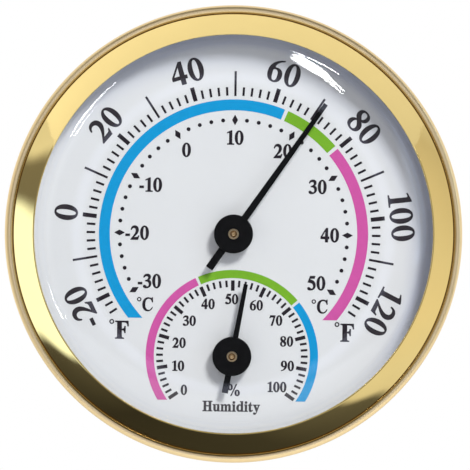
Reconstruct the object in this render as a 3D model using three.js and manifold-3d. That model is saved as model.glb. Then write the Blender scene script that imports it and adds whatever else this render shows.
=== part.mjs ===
// Dial thermometer and hygrometer: a round wall instrument with two pointers.
// Millimetres. +Z is up, the dial faces -Y, and the wall is the plane y = 0.
// The dial axis is the Y axis; the humidity movement hangs below it.

import * as THREE from 'three';
import { mergeVertices } from 'three/addons/utils/BufferGeometryUtils.js';
import Module from 'manifold-3d';

const wasm = await Module();
wasm.setup();

// ---- driving dimensions -------------------------------------------------------------

const OUTER_R = 50; // bezel, over its rolled edge
const DEPTH = 25; // wall to the bezel's crest
const GAP = 0.2; // left between pieces that rest on each other
const RUNNING_GAP = 0.1; // left on the radius round a shaft or a pressed-in bush
const OVERCUT = 1; // how far a through hole's tool passes each face
const TURNS = 60; // sides of the large round pieces
const SMALL_TURNS = 16; // sides of holes, screws and bushes

// The bezel's inside runs from skirt to lip as [radius, depth behind the crest].
const BEZEL = {
  bead: 1, grooveR: 48, faceRise: 0.4, lipR: 43.8, lipRise: 2.9, skirtY: -13.5,
  skirtEdge: [0.5, 1],
  inside: [[48.9, 11.5], [48.9, 10.3], [48.9, 1.7], [47.8, 1.35], [44.1, 3.6], [43.8, 3.5]],
};
const LENS = {
  rimR: 45, domeR: 43.2, flatR: 32.8, shoulder: 20, thick: 1.8, topY: -24.3,
  rimStep: 0.25, rimThick: 1.6, wallIn: 0.6,
};
const GASKET = { innerR: 44, outerR: 45, thick: 0.7 };
const SPACER = { innerR: 44.1, outerR: 45 };
const CASE = { outerR: 47.6, seatR: 45.4, boreR: 43.2, frontY: -21.2, ledgeY: -14.8 };
const BACK = {
  outerY: -3, innerY: -4.6, flatR: 42, rimInR: 35, rimOutR: 38.5, padR: 8, overlap: 0.4,
  shoulder: [[44.6, -4], [45.8, -6.4], [46, -12.3], [47.6, -14.1]],
  insideCorner: [[43.2, -7.8], [42, -5.2], [41, -4.6]],
};
const DIAL = { r: 45, frontY: -15.5, backY: -15, holeR: 2 };
const PLATE = {
  frontY: -13.2, backY: -12, cornerR: 4,
  upright: [[-20, 20], [-36, 12]], bar: [[-34, 34], [0, 10.4]],
  tongue: [[-6, 6], [-42.5, -30]], tongueR: 3,
  window: { x: 8, halfWide: 5, z: [-16.5, -10.5], cornerR: 2 },
};
const HUMIDITY_DROP = 27; // humidity axis below the dial axis

const SHAFT = { r: 0.8, frontY: -19.2, backY: -5 };
const BUSH_R = 1.2; // brass bush in each pointer's hub
const HUB = { r: 4.3, frontY: -19, backY: -17.2, stemR: 1.8, stemY: -16.2, edge: 0.3 };
const BLADE = { frontY: -18.3, backY: -17.7 };
const PIVOT = { flangeR: 2.8, bodyR: 1.9, holeR: 2, frontFlange: 1, rearFlange: 0.6 };
const COLLET_R = 1.8;
const COIL = {
  innerR: 2.2, outerR: 9.4, turns: 6, sidesPerTurn: 15, strip: 0.4, frontY: -11.2, backY: -8.2,
};
const BRIDGE = { frontY: -7.3, backY: -6.5, halfWide: 5, wallX: 11.6, footX: 18, screwX: 15 };
const ADJUSTER = {
  holeR: 2.1, r: 4.2, frontY: -6.3, backY: -4.9, armR: 10.4, armThick: 0.8, armHalf: 1,
  postY: -10.8, postThick: 0.7, slotDeep: 0.7, slotHalf: 0.5, accessR: 4.6,
};
const SCREW = { shankR: 1, headHigh: 1.2, slotHalf: 0.25 };
const CHASSIS = { headR: 2.2, holeR: 1.4, postR: 3, pilotR: 1.2, pilotDeep: 5 };
const STRAP = { headR: 2, holeR: 1.2 }; // screws that hold a bridge

const VENT = { innerR: 21, outerR: 31, wide: 2.2, angles: [30, 45, 60, 100, 115, 130] };
const KEYHOLE = { z: 24, entryR: 4, slotR: 2, slotTop: 31 };
const CHASSIS_SCREWS = [[-29.5, 5.2], [29.5, 5.2], [0, -39.5]];
const STAND = {
  wireR: 0.9, x: 14, endX: 19.6, pivotY: -1.9, pivotZ: 4, footZ: -42.5, bend: 5, smallBend: 2.2,
};
const LUG = { side: 1.6, end: 0.4, rootY: -3.5, topY: -0.3, halfHigh: 2.6, boreGap: 0.2 };
const FOOT = { r: 1.8, endR: 1.6, halfLong: 5, edge: 0.3, boreGap: 0.15 };
const FINGER_GAP = { halfWide: 6, deep: 1.1, aboveFoot: 2.2 }; // notch behind the stand's foot

// Each pointer: where it reads at rest, in degrees clockwise from straight up, and its
// blade as lengths from the axis and widths at the tail, beside the hub and at the tip.
const TEMPERATURE = {
  name: 'temperature',
  z: 0,
  angle: 34.7,
  blade: { tail: 9.3, tip: 35.1, tailWide: 1.7, hubWide: 1.55, tipWide: 1 },
};
const HUMIDITY = {
  name: 'humidity',
  z: -HUMIDITY_DROP,
  angle: 10.2,
  blade: { tail: 8.2, tip: 16.2, tailWide: 1.37, hubWide: 1.19, tipWide: 0.93 },
};

// ---- materials ----------------------------------------------------------------------

const material = (color, roughness, metalness) =>
  new THREE.MeshStandardMaterial({ color, roughness, metalness });

const gold = () => material('#d9b870', 0.12, 1);
const brass = () => material('#b08d4c', 0.35, 1);
const steel = () => material('#b9bcc0', 0.35, 1);
const bimetal = () => material('#9a8f80', 0.4, 1);
const caseBlack = () => material('#1d1d1f', 0.55, 0);
const pointerBlack = () => material('#141416', 0.4, 0);
const whitePlastic = () => material('#eef0f2', 0.5, 0);
const dialWhite = () => material('#f1f3f5', 0.45, 0);
const rubber = () => material('#262628', 0.85, 0);
const gasketGrey = () => material('#c9ccd0', 0.8, 0);

function clearLens() {
  const clear = material('#f4f8fa', 0.03, 0);
  clear.transparent = true;
  clear.opacity = 0.2;
  return clear;
}

// ---- solids and their joins ---------------------------------------------------------

const degrees = (value) => THREE.MathUtils.degToRad(value);

// Six times the signed volume: positive when the triangles face outwards.
function signedVolume(positions, triangles) {
  const corner = (index) => new THREE.Vector3().fromArray(positions, 3 * index);
  let sum = 0;
  for (let i = 0; i < triangles.length; i += 3) {
    const [a, b, c] = [0, 1, 2].map((k) => corner(triangles[i + k]));
    sum += a.dot(b.cross(c));
  }
  return sum;
}

// A closed geometry as a solid, with its shared vertices merged and faces turned out.
function solid(geometry) {
  const bare = geometry.clone();
  bare.deleteAttribute('normal');
  bare.deleteAttribute('uv');
  const merged = mergeVertices(bare, 1e-4);
  const positions = new Float32Array(merged.attributes.position.array);
  const corners = [...merged.index.array];
  const triangles = [];
  for (let i = 0; i < corners.length; i += 3) {
    const [a, b, c] = corners.slice(i, i + 3);
    if (a !== b && b !== c && c !== a) triangles.push(a, b, c);
  }
  if (signedVolume(positions, triangles) < 0) triangles.reverse();
  const mesh = new wasm.Mesh({
    numProp: 3,
    vertProperties: positions,
    triVerts: new Uint32Array(triangles),
  });
  return new wasm.Manifold(mesh);
}

function toGeometry(manifold) {
  const mesh = manifold.getMesh();
  const geometry = new THREE.BufferGeometry();
  geometry.setAttribute('position', new THREE.BufferAttribute(mesh.vertProperties, 3));
  geometry.setIndex(new THREE.BufferAttribute(mesh.triVerts, 1));
  geometry.computeVertexNormals();
  return geometry;
}

const join = (...parts) => parts.reduce((whole, part) => whole.add(part));
const cut = (whole, ...tools) => tools.reduce((rest, tool) => rest.subtract(tool), whole);

// A ring or disc turned about the Y axis from [radius, y] points, moved to x and z.
function turned(profile, { sides = TURNS, x = 0, z = 0 } = {}) {
  const points = profile.map(([r, y]) => new THREE.Vector2(r, y));
  const onAxis = profile[0][0] === 0 && profile.at(-1)[0] === 0;
  if (!onAxis) points.push(points[0].clone());
  const geometry = new THREE.LatheGeometry(points, sides);
  geometry.translate(x, 0, z);
  return solid(geometry);
}

const rod = (r, frontY, backY, place = {}) =>
  turned([[0, frontY], [r, frontY], [r, backY], [0, backY]], { sides: SMALL_TURNS, ...place });

const tube = (innerR, outerR, frontY, backY, place = {}) =>
  turned([[innerR, frontY], [outerR, frontY], [outerR, backY], [innerR, backY]],
    { sides: SMALL_TURNS, ...place });

// A drill for a hole through everything from frontY to backY.
const drill = (r, frontY, backY, place = {}) =>
  rod(r, frontY - OVERCUT, backY + OVERCUT, place);

// A flat outline in x and z, given thickness from frontY to backY.
function slab(shape, frontY, backY, curveSegments = 12) {
  const depth = backY - frontY;
  const geometry = new THREE.ExtrudeGeometry(shape, { depth, bevelEnabled: false, curveSegments });
  geometry.rotateX(Math.PI / 2);
  geometry.translate(0, backY, 0);
  return solid(geometry);
}

function block([x0, x1], [y0, y1], [z0, z1]) {
  const geometry = new THREE.BoxGeometry(x1 - x0, y1 - y0, z1 - z0);
  geometry.translate((x0 + x1) / 2, (y0 + y1) / 2, (z0 + z1) / 2);
  return solid(geometry);
}

function outline(points) {
  return new THREE.Shape(points.map(([x, z]) => new THREE.Vector2(x, z)));
}

function roundedBox([x0, x1], [z0, z1], r) {
  const shape = new THREE.Shape();
  shape.moveTo(x0 + r, z0);
  shape.absarc(x1 - r, z0 + r, r, -Math.PI / 2, 0);
  shape.absarc(x1 - r, z1 - r, r, 0, Math.PI / 2);
  shape.absarc(x0 + r, z1 - r, r, Math.PI / 2, Math.PI);
  shape.absarc(x0 + r, z0 + r, r, Math.PI, 1.5 * Math.PI);
  return shape;
}

// A flat outline drawn about the dial axis, given thickness and turned clockwise.
function turnedSlab(shape, frontY, backY, angle, curveSegments = 12) {
  const depth = backY - frontY;
  const geometry = new THREE.ExtrudeGeometry(shape, { depth, bevelEnabled: false, curveSegments });
  geometry.rotateX(Math.PI / 2);
  geometry.translate(0, backY, 0);
  geometry.rotateY(degrees(angle));
  return geometry;
}

// A slot with round ends through the case, centred on a line from the dial axis.
function ventSlot(angle) {
  const { innerR, outerR, wide } = VENT;
  const r = wide / 2;
  const shape = new THREE.Shape();
  shape.absarc(0, outerR - r, r, 0, Math.PI);
  shape.absarc(0, innerR + r, r, Math.PI, 2 * Math.PI);
  return solid(turnedSlab(shape, BACK.innerY - OVERCUT, OVERCUT, angle, 4));
}

const instrument = new THREE.Group();
instrument.name = 'instrument';

function place(name, finish, manifold, group = instrument) {
  const mesh = new THREE.Mesh(toGeometry(manifold), finish);
  mesh.name = name;
  group.add(mesh);
}

// ---- front: bezel, lens, gasket, spacer and dial -----------------------------------

function arc(centreR, centreY, radius, from, to, steps) {
  return Array.from({ length: steps + 1 }, (_, i) => {
    const angle = degrees(from + ((to - from) * i) / steps);
    return [centreR + radius * Math.cos(angle), centreY + radius * Math.sin(angle)];
  });
}

function bezelRing() {
  const { bead, grooveR, faceRise, lipR, lipRise, skirtY, skirtEdge, inside } = BEZEL;
  const beadR = OUTER_R - bead;
  const beadY = -DEPTH + bead;
  const faceY = -DEPTH + faceRise;
  const lipY = -DEPTH + lipRise;
  const front = [[lipR, lipY], [grooveR, faceY], ...arc(beadR, beadY, bead, -150, 0, 5)];
  const skirt = [[OUTER_R, skirtY - skirtEdge[1]], [OUTER_R - skirtEdge[0], skirtY]];
  return turned([...front, ...skirt, ...inside.map(([r, behind]) => [r, behind - DEPTH])]);
}

// Height lost by the dome between its flat middle and radius r.
function domeDrop(r) {
  const run = Math.max(0, r - LENS.flatR);
  return LENS.shoulder - Math.sqrt(LENS.shoulder ** 2 - run ** 2);
}

function lens() {
  const { rimR, domeR, flatR, thick, topY, rimStep, rimThick, wallIn } = LENS;
  const steps = 4;
  const radii = Array.from({ length: steps + 1 }, (_, i) => flatR + ((domeR - flatR) * i) / steps);
  const outside = radii.map((r) => [r, topY + domeDrop(r)]);
  const rimY = outside.at(-1)[1] + rimStep;
  const inside = radii.map((r) => [r - wallIn, topY + thick + domeDrop(r)]).reverse();
  const profile = [
    [0, topY],
    ...outside,
    [domeR, rimY],
    [rimR, rimY],
    [rimR, rimY + rimThick],
    [domeR - wallIn, rimY + rimThick],
    ...inside,
    [0, topY + thick],
  ];
  return turned(profile);
}

const LENS_BACK = LENS.topY + domeDrop(LENS.domeR) + LENS.rimStep + LENS.rimThick;
const GASKET_BACK = LENS_BACK + GAP + GASKET.thick;

const lensGasket = () =>
  tube(GASKET.innerR, GASKET.outerR, LENS_BACK + GAP, GASKET_BACK, { sides: TURNS });

const spacerRing = () =>
  tube(SPACER.innerR, SPACER.outerR, GASKET_BACK + GAP, DIAL.frontY - GAP, { sides: TURNS });

function dialPlate() {
  const { r, frontY, backY, holeR } = DIAL;
  const holes = [TEMPERATURE, HUMIDITY].map(({ z }) => drill(holeR, frontY, backY, { z }));
  return cut(rod(r, frontY, backY, { sides: TURNS }), ...holes);
}

// ---- back: case with its vents, keyhole, lugs and screw posts ----------------------

function keyhole() {
  const { z, entryR, slotR, slotTop } = KEYHOLE;
  const slot = block([-slotR, slotR], [BACK.innerY - OVERCUT, OVERCUT], [z, slotTop]);
  const ends = [[entryR, z], [slotR, slotTop]].map(([r, endZ]) =>
    drill(r, BACK.innerY, 0, { z: endZ }));
  return join(slot, ...ends);
}

function standLug(side) {
  const { x, pivotY, pivotZ, wireR, endX } = STAND;
  const { rootY, topY, halfHigh, boreGap } = LUG;
  const inner = x + wireR + LUG.side;
  const outer = endX + LUG.end;
  const span = [inner, outer].map((value) => value * side).sort((a, b) => a - b);
  const lug = block(span, [rootY, topY], [pivotZ - halfHigh, pivotZ + halfHigh]);
  const boreR = wireR + boreGap;
  const long = 2 * (outer - inner) + 2 * OVERCUT;
  const bore = new THREE.CylinderGeometry(boreR, boreR, long, SMALL_TURNS);
  bore.rotateZ(Math.PI / 2);
  bore.translate(((inner + outer) / 2) * side, pivotY, pivotZ);
  return { lug, bore: solid(bore) };
}

function rearCase() {
  const { outerR, seatR, boreR, frontY, ledgeY } = CASE;
  const { outerY, innerY, flatR, rimInR, rimOutR, padR, overlap, shoulder, insideCorner } = BACK;
  const { postR, pilotR } = CHASSIS;
  const { halfWide, deep, aboveFoot } = FINGER_GAP;
  const shell = turned([
    [0, outerY], [flatR, outerY], ...shoulder, [outerR, frontY], [seatR, frontY],
    [seatR, ledgeY], [boreR, ledgeY], ...insideCorner, [0, innerY],
  ]);
  const rimGap = block([-STAND.x - 4, STAND.x + 4], [outerY - OVERCUT, OVERCUT], [-OUTER_R, 0]);
  const rim = cut(tube(rimInR, rimOutR, outerY - overlap, 0, { sides: TURNS }), rimGap);
  const pad = rod(padR, outerY - overlap, 0, { sides: 36 });
  const postY = PLATE.backY + GAP;
  const posts = CHASSIS_SCREWS.map(([x, z]) => rod(postR, postY, innerY + overlap, { x, z }));
  const pilots = CHASSIS_SCREWS.map(([x, z]) =>
    rod(pilotR, postY - OVERCUT, innerY - OVERCUT, { x, z }));
  const lugs = [-1, 1].map(standLug);
  const vents = VENT.angles.flatMap((angle) => [-1, 1].map((side) => ventSlot(side * angle)));
  const adjusterHole = drill(ADJUSTER.accessR, innerY, 0, { z: -HUMIDITY_DROP });
  const fingerGap = block([-halfWide, halfWide], [outerY - deep, OVERCUT],
    [-CASE.outerR, STAND.footZ + aboveFoot]);
  const whole = join(shell, rim, pad, ...posts, ...lugs.map(({ lug }) => lug));
  const bores = lugs.map(({ bore }) => bore);
  return cut(whole, ...pilots, ...bores, ...vents, adjusterHole, keyhole(), fingerGap);
}

// ---- the movement plate that carries both movements --------------------------------

function movementPlate() {
  const { frontY, backY, cornerR, upright, bar, tongue, tongueR, window } = PLATE;
  const sheet = (box, r) => slab(roundedBox(...box, r), frontY, backY, 5);
  const blank = join(sheet(upright, cornerR), sheet(tongue, tongueR), sheet(bar, cornerR));
  const drilled = (r, x, z) => drill(r, frontY, backY, { x, z });
  const axes = [TEMPERATURE.z, HUMIDITY.z];
  const sides = [-1, 1];
  const holes = [
    ...axes.map((z) => drilled(PIVOT.holeR, 0, z)),
    ...CHASSIS_SCREWS.map(([x, z]) => drilled(CHASSIS.holeR, x, z)),
    ...axes.flatMap((z) => sides.map((side) => drilled(STRAP.holeR, side * BRIDGE.screwX, z))),
  ];
  const windows = sides.map((side) => {
    const span = [side * window.x - window.halfWide, side * window.x + window.halfWide];
    const shape = roundedBox(span, window.z, window.cornerR);
    return slab(shape, frontY - OVERCUT, backY + OVERCUT, 4);
  });
  return cut(blank, ...holes, ...windows);
}

// A slotted pan-head screw along Y, with its head on the side away from shankY.
function screw({ x, z, headY, shankY, headR }) {
  const { shankR, headHigh, slotHalf } = SCREW;
  const head = headHigh * Math.sign(headY - shankY);
  const body = turned([
    [0, headY + head], [headR * 0.7, headY + head], [headR, headY + head * 0.5],
    [headR, headY], [shankR, headY], [shankR, shankY], [0, shankY],
  ], { sides: SMALL_TURNS, x, z });
  const slotY = [headY + head * 0.45, headY + head * 1.5].sort((a, b) => a - b);
  return cut(body, block([x - headR, x + headR], slotY, [z - slotHalf, z + slotHalf]));
}

// ---- one movement: pointer, shaft, bushes, coil, bridge and adjuster ---------------

function pointer({ z, angle, blade }) {
  const { tail, tip, tailWide, hubWide, tipWide } = blade;
  const shape = outline([
    [-tailWide / 2, -tail], [tailWide / 2, -tail], [tailWide / 2, -HUB.r],
    [hubWide / 2, HUB.r], [tipWide / 2, tip], [-tipWide / 2, tip],
    [-hubWide / 2, HUB.r], [-tailWide / 2, -HUB.r],
  ]);
  const arm = turnedSlab(shape, BLADE.frontY, BLADE.backY, angle).translate(0, 0, z);
  const { r, frontY, backY, stemR, stemY, edge } = HUB;
  const hub = turned([
    [0, frontY], [r - edge, frontY], [r, frontY + edge], [r, backY],
    [stemR, backY], [stemR, stemY], [0, stemY],
  ], { sides: 36, z });
  return cut(join(hub, solid(arm)), drill(BUSH_R + RUNNING_GAP, frontY, stemY, { z }));
}

const pointerBush = ({ z }) =>
  tube(SHAFT.r + RUNNING_GAP, BUSH_R, HUB.frontY - 0.05, HUB.stemY, { z });

const shaft = ({ z }) => turned([
  [0, SHAFT.frontY], [SHAFT.r - 0.2, SHAFT.frontY], [SHAFT.r, SHAFT.frontY + 0.15],
  [SHAFT.r, SHAFT.backY], [0, SHAFT.backY],
], { sides: SMALL_TURNS, z });

function flangedBush(z, flangeY, bodyY) {
  const innerR = SHAFT.r + RUNNING_GAP;
  return turned([
    [innerR, flangeY[0]], [PIVOT.flangeR, flangeY[0]], [PIVOT.flangeR, flangeY[1]],
    [PIVOT.bodyR, flangeY[1]], [PIVOT.bodyR, bodyY], [innerR, bodyY],
  ], { sides: SMALL_TURNS, z });
}

const frontBush = ({ z }) => flangedBush(z,
  [PLATE.frontY - PIVOT.frontFlange, PLATE.frontY - GAP / 2], PLATE.backY + 0.5);

const rearBush = ({ z }) => flangedBush(z,
  [BRIDGE.frontY - PIVOT.rearFlange, BRIDGE.frontY - GAP / 2], ADJUSTER.backY - GAP);

const collet = ({ z }) =>
  tube(SHAFT.r + RUNNING_GAP, COLLET_R, COIL.frontY, COIL.backY, { z });

// The flat spiral strip, wound clockwise from its inner end and ending straight up.
function coil({ z }) {
  const { innerR, outerR, turns, sidesPerTurn, strip, frontY, backY } = COIL;
  const steps = turns * sidesPerTurn;
  const edge = (offset) => Array.from({ length: steps + 1 }, (_, i) => {
    const share = i / steps;
    const angle = 2 * Math.PI * turns * (share - 1);
    const r = innerR + strip / 2 + (outerR - innerR - strip) * share + offset;
    return [r * Math.sin(angle), z + r * Math.cos(angle)];
  });
  const points = [...edge(strip / 2), ...edge(-strip / 2).reverse()];
  return slab(outline(points), frontY, backY);
}

// A strap over the coil, with a foot screwed to the movement plate on each side.
function bridge({ z }) {
  const { frontY, backY, halfWide, wallX, footX, screwX } = BRIDGE;
  const thick = backY - frontY;
  const footBack = PLATE.backY + GAP + thick;
  const footFront = PLATE.backY + GAP;
  const half = [
    [footX, footFront], [footX, footBack], [wallX + thick, footBack], [wallX + thick, backY],
  ];
  const inner = [[wallX, frontY], [wallX, footFront]];
  const mirrored = (points) => points.map(([x, y]) => [-x, y]).reverse();
  const points = [...half, ...mirrored(half), ...mirrored(inner), ...inner];
  const geometry = new THREE.ExtrudeGeometry(outline(points),
    { depth: 2 * halfWide, bevelEnabled: false });
  geometry.translate(0, 0, z - halfWide);
  const screwHoles = [-1, 1].map((side) =>
    drill(STRAP.holeR, footFront, footBack, { x: side * screwX, z }));
  return cut(solid(geometry), drill(PIVOT.holeR, frontY, backY, { z }), ...screwHoles);
}

// The adjuster turns on the rear bush and holds the outer end of the coil.
function adjuster({ z }) {
  const { holeR, r, frontY, backY, armR, armThick, armHalf, postY, postThick } = ADJUSTER;
  const { slotDeep, slotHalf } = ADJUSTER;
  const hub = tube(holeR, r, frontY, backY, { sides: 32, z });
  const across = [-armHalf, armHalf];
  const arm = block(across, [frontY, frontY + armThick], [z + holeR + 1, z + armR]);
  const post = block(across, [postY, frontY + armThick], [z + armR - postThick, z + armR]);
  const slot = block([-r - OVERCUT, r + OVERCUT], [backY - slotDeep, backY + OVERCUT],
    [z - slotHalf, z + slotHalf]);
  return cut(join(hub, arm, post), slot);
}

function buildMovement(movement) {
  const group = new THREE.Group();
  group.name = `${movement.name}_movement`;
  instrument.add(group);
  const add = (piece, finish, manifold) =>
    place(`${movement.name}_${piece}`, finish, manifold, group);
  add('pointer', pointerBlack(), pointer(movement));
  add('pointer_bush', brass(), pointerBush(movement));
  add('shaft', steel(), shaft(movement));
  add('front_bush', brass(), frontBush(movement));
  add('rear_bush', brass(), rearBush(movement));
  add('collet', brass(), collet(movement));
  add('coil', bimetal(), coil(movement));
  add('bridge', steel(), bridge(movement));
  add('adjuster', brass(), adjuster(movement));
  [-1, 1].forEach((side, i) => {
    const footBack = PLATE.backY + GAP + BRIDGE.backY - BRIDGE.frontY;
    add(`bridge_screw_${i + 1}`, steel(), screw({
      x: side * BRIDGE.screwX, z: movement.z, headY: footBack + GAP / 2,
      shankY: PLATE.frontY - 0.4, headR: STRAP.headR,
    }));
  });
}

// ---- fold-out stand -----------------------------------------------------------------

function standWire() {
  const { wireR, x, endX, pivotY, pivotZ, footZ, bend, smallBend: small } = STAND;
  const at = (px, pz) => new THREE.Vector3(px, pivotY, pz);
  const path = new THREE.CurvePath();
  const line = (a, b) => path.add(new THREE.LineCurve3(a, b));
  const corner = (a, middle, b) => path.add(new THREE.QuadraticBezierCurve3(a, middle, b));
  line(at(-endX, pivotZ), at(-x - small, pivotZ));
  corner(at(-x - small, pivotZ), at(-x, pivotZ), at(-x, pivotZ - small));
  line(at(-x, pivotZ - small), at(-x, footZ + bend));
  corner(at(-x, footZ + bend), at(-x, footZ), at(-x + bend, footZ));
  line(at(-x + bend, footZ), at(x - bend, footZ));
  corner(at(x - bend, footZ), at(x, footZ), at(x, footZ + bend));
  line(at(x, footZ + bend), at(x, pivotZ - small));
  corner(at(x, pivotZ - small), at(x, pivotZ), at(x + small, pivotZ));
  line(at(x + small, pivotZ), at(endX, pivotZ));
  const section = new THREE.Shape();
  section.absarc(0, 0, wireR, 0, 2 * Math.PI);
  return solid(new THREE.ExtrudeGeometry(section,
    { steps: 64, curveSegments: 4, extrudePath: path, bevelEnabled: false }));
}

function standFoot() {
  const { wireR, pivotY, footZ } = STAND;
  const { r: outerR, endR, halfLong, edge, boreGap } = FOOT;
  const boreR = wireR + boreGap;
  const end = [[outerR, halfLong - edge], [endR, halfLong], [boreR, halfLong]];
  const profile = [...end.map(([r, y]) => [r, -y]).reverse(), ...end];
  const points = [...profile, profile[0]].map(([r, y]) => new THREE.Vector2(r, y));
  const geometry = new THREE.LatheGeometry(points, SMALL_TURNS);
  geometry.rotateZ(Math.PI / 2);
  geometry.translate(0, pivotY, footZ);
  return solid(geometry);
}

// ---- assembly -----------------------------------------------------------------------

place('bezel_ring', gold(), bezelRing());
place('lens', clearLens(), lens());
place('lens_gasket', gasketGrey(), lensGasket());
place('dial_spacer_ring', whitePlastic(), spacerRing());
place('dial_plate', dialWhite(), dialPlate());
place('rear_case', caseBlack(), rearCase());
place('movement_plate', steel(), movementPlate());
CHASSIS_SCREWS.forEach(([x, z], i) => {
  place(`movement_plate_screw_${i + 1}`, steel(), screw({
    x, z, headY: PLATE.frontY - GAP / 2, shankY: PLATE.backY + CHASSIS.pilotDeep,
    headR: CHASSIS.headR,
  }));
});
buildMovement(TEMPERATURE);
buildMovement(HUMIDITY);
place('stand_wire', steel(), standWire());
place('stand_foot', rubber(), standFoot());

export default instrument;
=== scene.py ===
"""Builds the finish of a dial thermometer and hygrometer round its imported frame.

The file is laid out as an add-on: sizes and colours are properties, each piece or
group of like pieces has its own operator, and main() calls them in order.
Lengths are in metres once they reach a mesh; the values below are in millimetres.
The dial's axis is the Y axis, the dial faces -Y and Z is up.
"""

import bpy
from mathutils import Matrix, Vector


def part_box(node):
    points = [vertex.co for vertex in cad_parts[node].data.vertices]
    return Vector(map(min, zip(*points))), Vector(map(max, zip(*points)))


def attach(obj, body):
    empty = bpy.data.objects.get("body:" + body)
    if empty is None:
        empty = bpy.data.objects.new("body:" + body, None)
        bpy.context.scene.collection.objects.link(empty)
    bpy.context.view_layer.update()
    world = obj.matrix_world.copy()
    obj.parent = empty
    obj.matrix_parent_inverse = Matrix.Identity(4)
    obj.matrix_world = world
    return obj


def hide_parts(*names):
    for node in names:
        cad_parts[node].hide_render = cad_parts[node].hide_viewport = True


bl_info = {
    "name": "Dial Thermometer and Hygrometer",
    "version": (1, 0, 0),
    "blender": (4, 5, 0),
    "location": "3D View > Sidebar > Instrument",
    "description": "Finishes a round two-pointer weather instrument",
    "category": "Object",
}

import math

import bmesh
import bpy
from bpy.props import FloatProperty, FloatVectorProperty, PointerProperty
from mathutils import Matrix, Vector

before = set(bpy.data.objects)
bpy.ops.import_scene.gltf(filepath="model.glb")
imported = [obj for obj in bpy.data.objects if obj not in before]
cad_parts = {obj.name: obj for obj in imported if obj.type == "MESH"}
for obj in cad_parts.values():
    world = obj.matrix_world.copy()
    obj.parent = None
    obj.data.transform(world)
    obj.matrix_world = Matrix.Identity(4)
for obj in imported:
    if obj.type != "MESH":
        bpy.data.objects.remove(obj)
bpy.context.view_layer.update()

MM = 0.001

# ---- sizes, in millimetres ----------------------------------------------------------


def reach(node):
    """A node's lowest and highest corner in millimetres."""
    low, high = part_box(node)
    return low / MM, high / MM


DIAL_LOW, DIAL_HIGH = reach("dial_plate")
DIAL_FRONT = DIAL_LOW.y
BEZEL_LOW, BEZEL_HIGH = reach("bezel_ring")
OUTER_R = BEZEL_HIGH.x
CREST_Y = BEZEL_LOW.y
LENS_TOP = reach("lens")[0].y
HUB_LOW, HUB_HIGH = reach("humidity_pointer")
SHAFT_LOW, SHAFT_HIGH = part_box("humidity_shaft")
HUMIDITY_Z = (SHAFT_LOW.z + SHAFT_HIGH.z) / 2 / MM

BEZEL = {
    "bead": 1.0, "groove_r": 48.0, "face_drop": 0.4, "face_bulge": 0.07, "lip_r": 43.8,
    "lip_rise": 2.9, "sheet": 0.7,
}
# Where the gold's look changes: each is the stretch over which one look turns into the next. The rolled
# edge's paler front is a painted sheen, and the groove's dark brown is painted shade.
GOLD = {
    "rolled_dull_and_sheen_r": (48.3, 48.7), "rolled_dull_and_sheen_y": (-22.8, -21.8),
    "groove_shade_in_r": (47.92, 48.05), "groove_shade_out_r": (48.4, 48.75),
}
LENS = {
    "rim_r": 45.0, "dome_r": 43.2, "flat_r": 32.8, "steep_r": 42.0, "shoulder": 20.0,
    "thick": 1.8, "rim_drop": 3.42, "rim_thick": 1.6,
}
# The last steep stretch of the lens, as radii and drops below its top.
LENS_EDGE = ((42.3, 2.42), (42.6, 2.62), (42.85, 2.84), (43.05, 3.08), (43.2, 3.34))
# The stretches over which the lens's grey tint grows: with the radius, and to the upper right. The tint is
# painted shade for the bezel's shadow and the darkening towards the rim.
LENS_PAINTED_SHADE = {"r": (40.2, 43.0), "across": (-15.0, 30.0)}
DIAL_HOLE_R = 2.0
RING_WALLS = {"dial_spacer_ring": 0.9, "lens_gasket": 1.0}
HUB = {"r": 4.3, "back": -17.2, "stem_r": 1.8, "bush_r": 1.14, "shaft_r": 0.8}
BLADE = {"front": -18.3, "back": -17.7, "crown": 0.12}
CASE = {"outer_r": 47.6, "seat_r": 45.4, "bore_r": 43.2, "front": -21.2, "ledge": -14.8}
BACK = {"outer": -3.0, "wall": 1.6, "flat_r": 42.0, "rim_in": 35.0, "rim_out": 38.5, "pad_r": 8.0}
VENT = {"inner": 21.0, "outer": 31.0, "wide": 2.2, "angles": (30, 45, 60, 100, 115, 130)}
KEYHOLE = {"z": 24.0, "entry_r": 4.0, "slot_r": 2.0, "top": 31.0}
ADJUSTER_HOLE_R = 4.6
POSTS = ((-29.5, 5.2), (29.5, 5.2), (0.0, -39.5))
POST = {"r": 3.0, "front": -11.8, "pilot_r": 1.2, "pilot_front": -13.0}
STAND = {
    "wire_r": 0.9, "x": 14.0, "end_x": 19.6, "y": -1.9, "z": 4.0, "foot_z": -42.5,
    "end_bend": 2.2, "foot_bend": 5.0,
}
LUG = {"inner": 2.5, "outer": 0.4, "half_tall": 2.6, "back": -0.3, "bore_gap": 0.2, "bore_deep": 3.6}
# The gap in the rim where the folded stand lies, and the notch that lets a finger behind it.
STAND_GAP = {"beside": 4.0, "low": -50.0, "high": -31.0}
FINGER_GAP = {"half": 6.0, "above_foot": 2.2, "deep": 1.1}
COIL = {"inner": 2.4, "outer": 9.2, "turns": 6, "strip": 0.32}
FLOOR = {"r": 600, "thick": 4, "z": -250}

# Each pointer: the angle it rests at, clockwise from straight up, and its blade as
# lengths from its axis and widths at the tail, beside the hub and at the tip.
POINTERS = {
    "temperature": {
        "z": 0.0, "angle": 34.7, "tail": 9.3, "tip": 35.1,
        "tail_wide": 1.7, "hub_wide": 1.55, "tip_wide": 1.0,
    },
    "humidity": {
        "z": HUMIDITY_Z, "angle": 10.2, "tail": 8.2, "tip": 16.2,
        "tail_wide": 1.37, "hub_wide": 1.19, "tip_wide": 0.93,
    },
}

# The printed scales: degrees of turn for one degree or percent, the reading that is
# straight up, both ends and the step from mark to mark.
FAHRENHEIT = {"turn": 5 / 3, "middle": 50, "low": -24, "high": 124, "mark": 2}
CELSIUS = {"turn": 3, "middle": 10, "low": -30, "high": 50, "mark": 2}
HUMIDITY = {"turn": 2.49, "middle": 50, "low": 0, "high": 100, "mark": 2}

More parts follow.
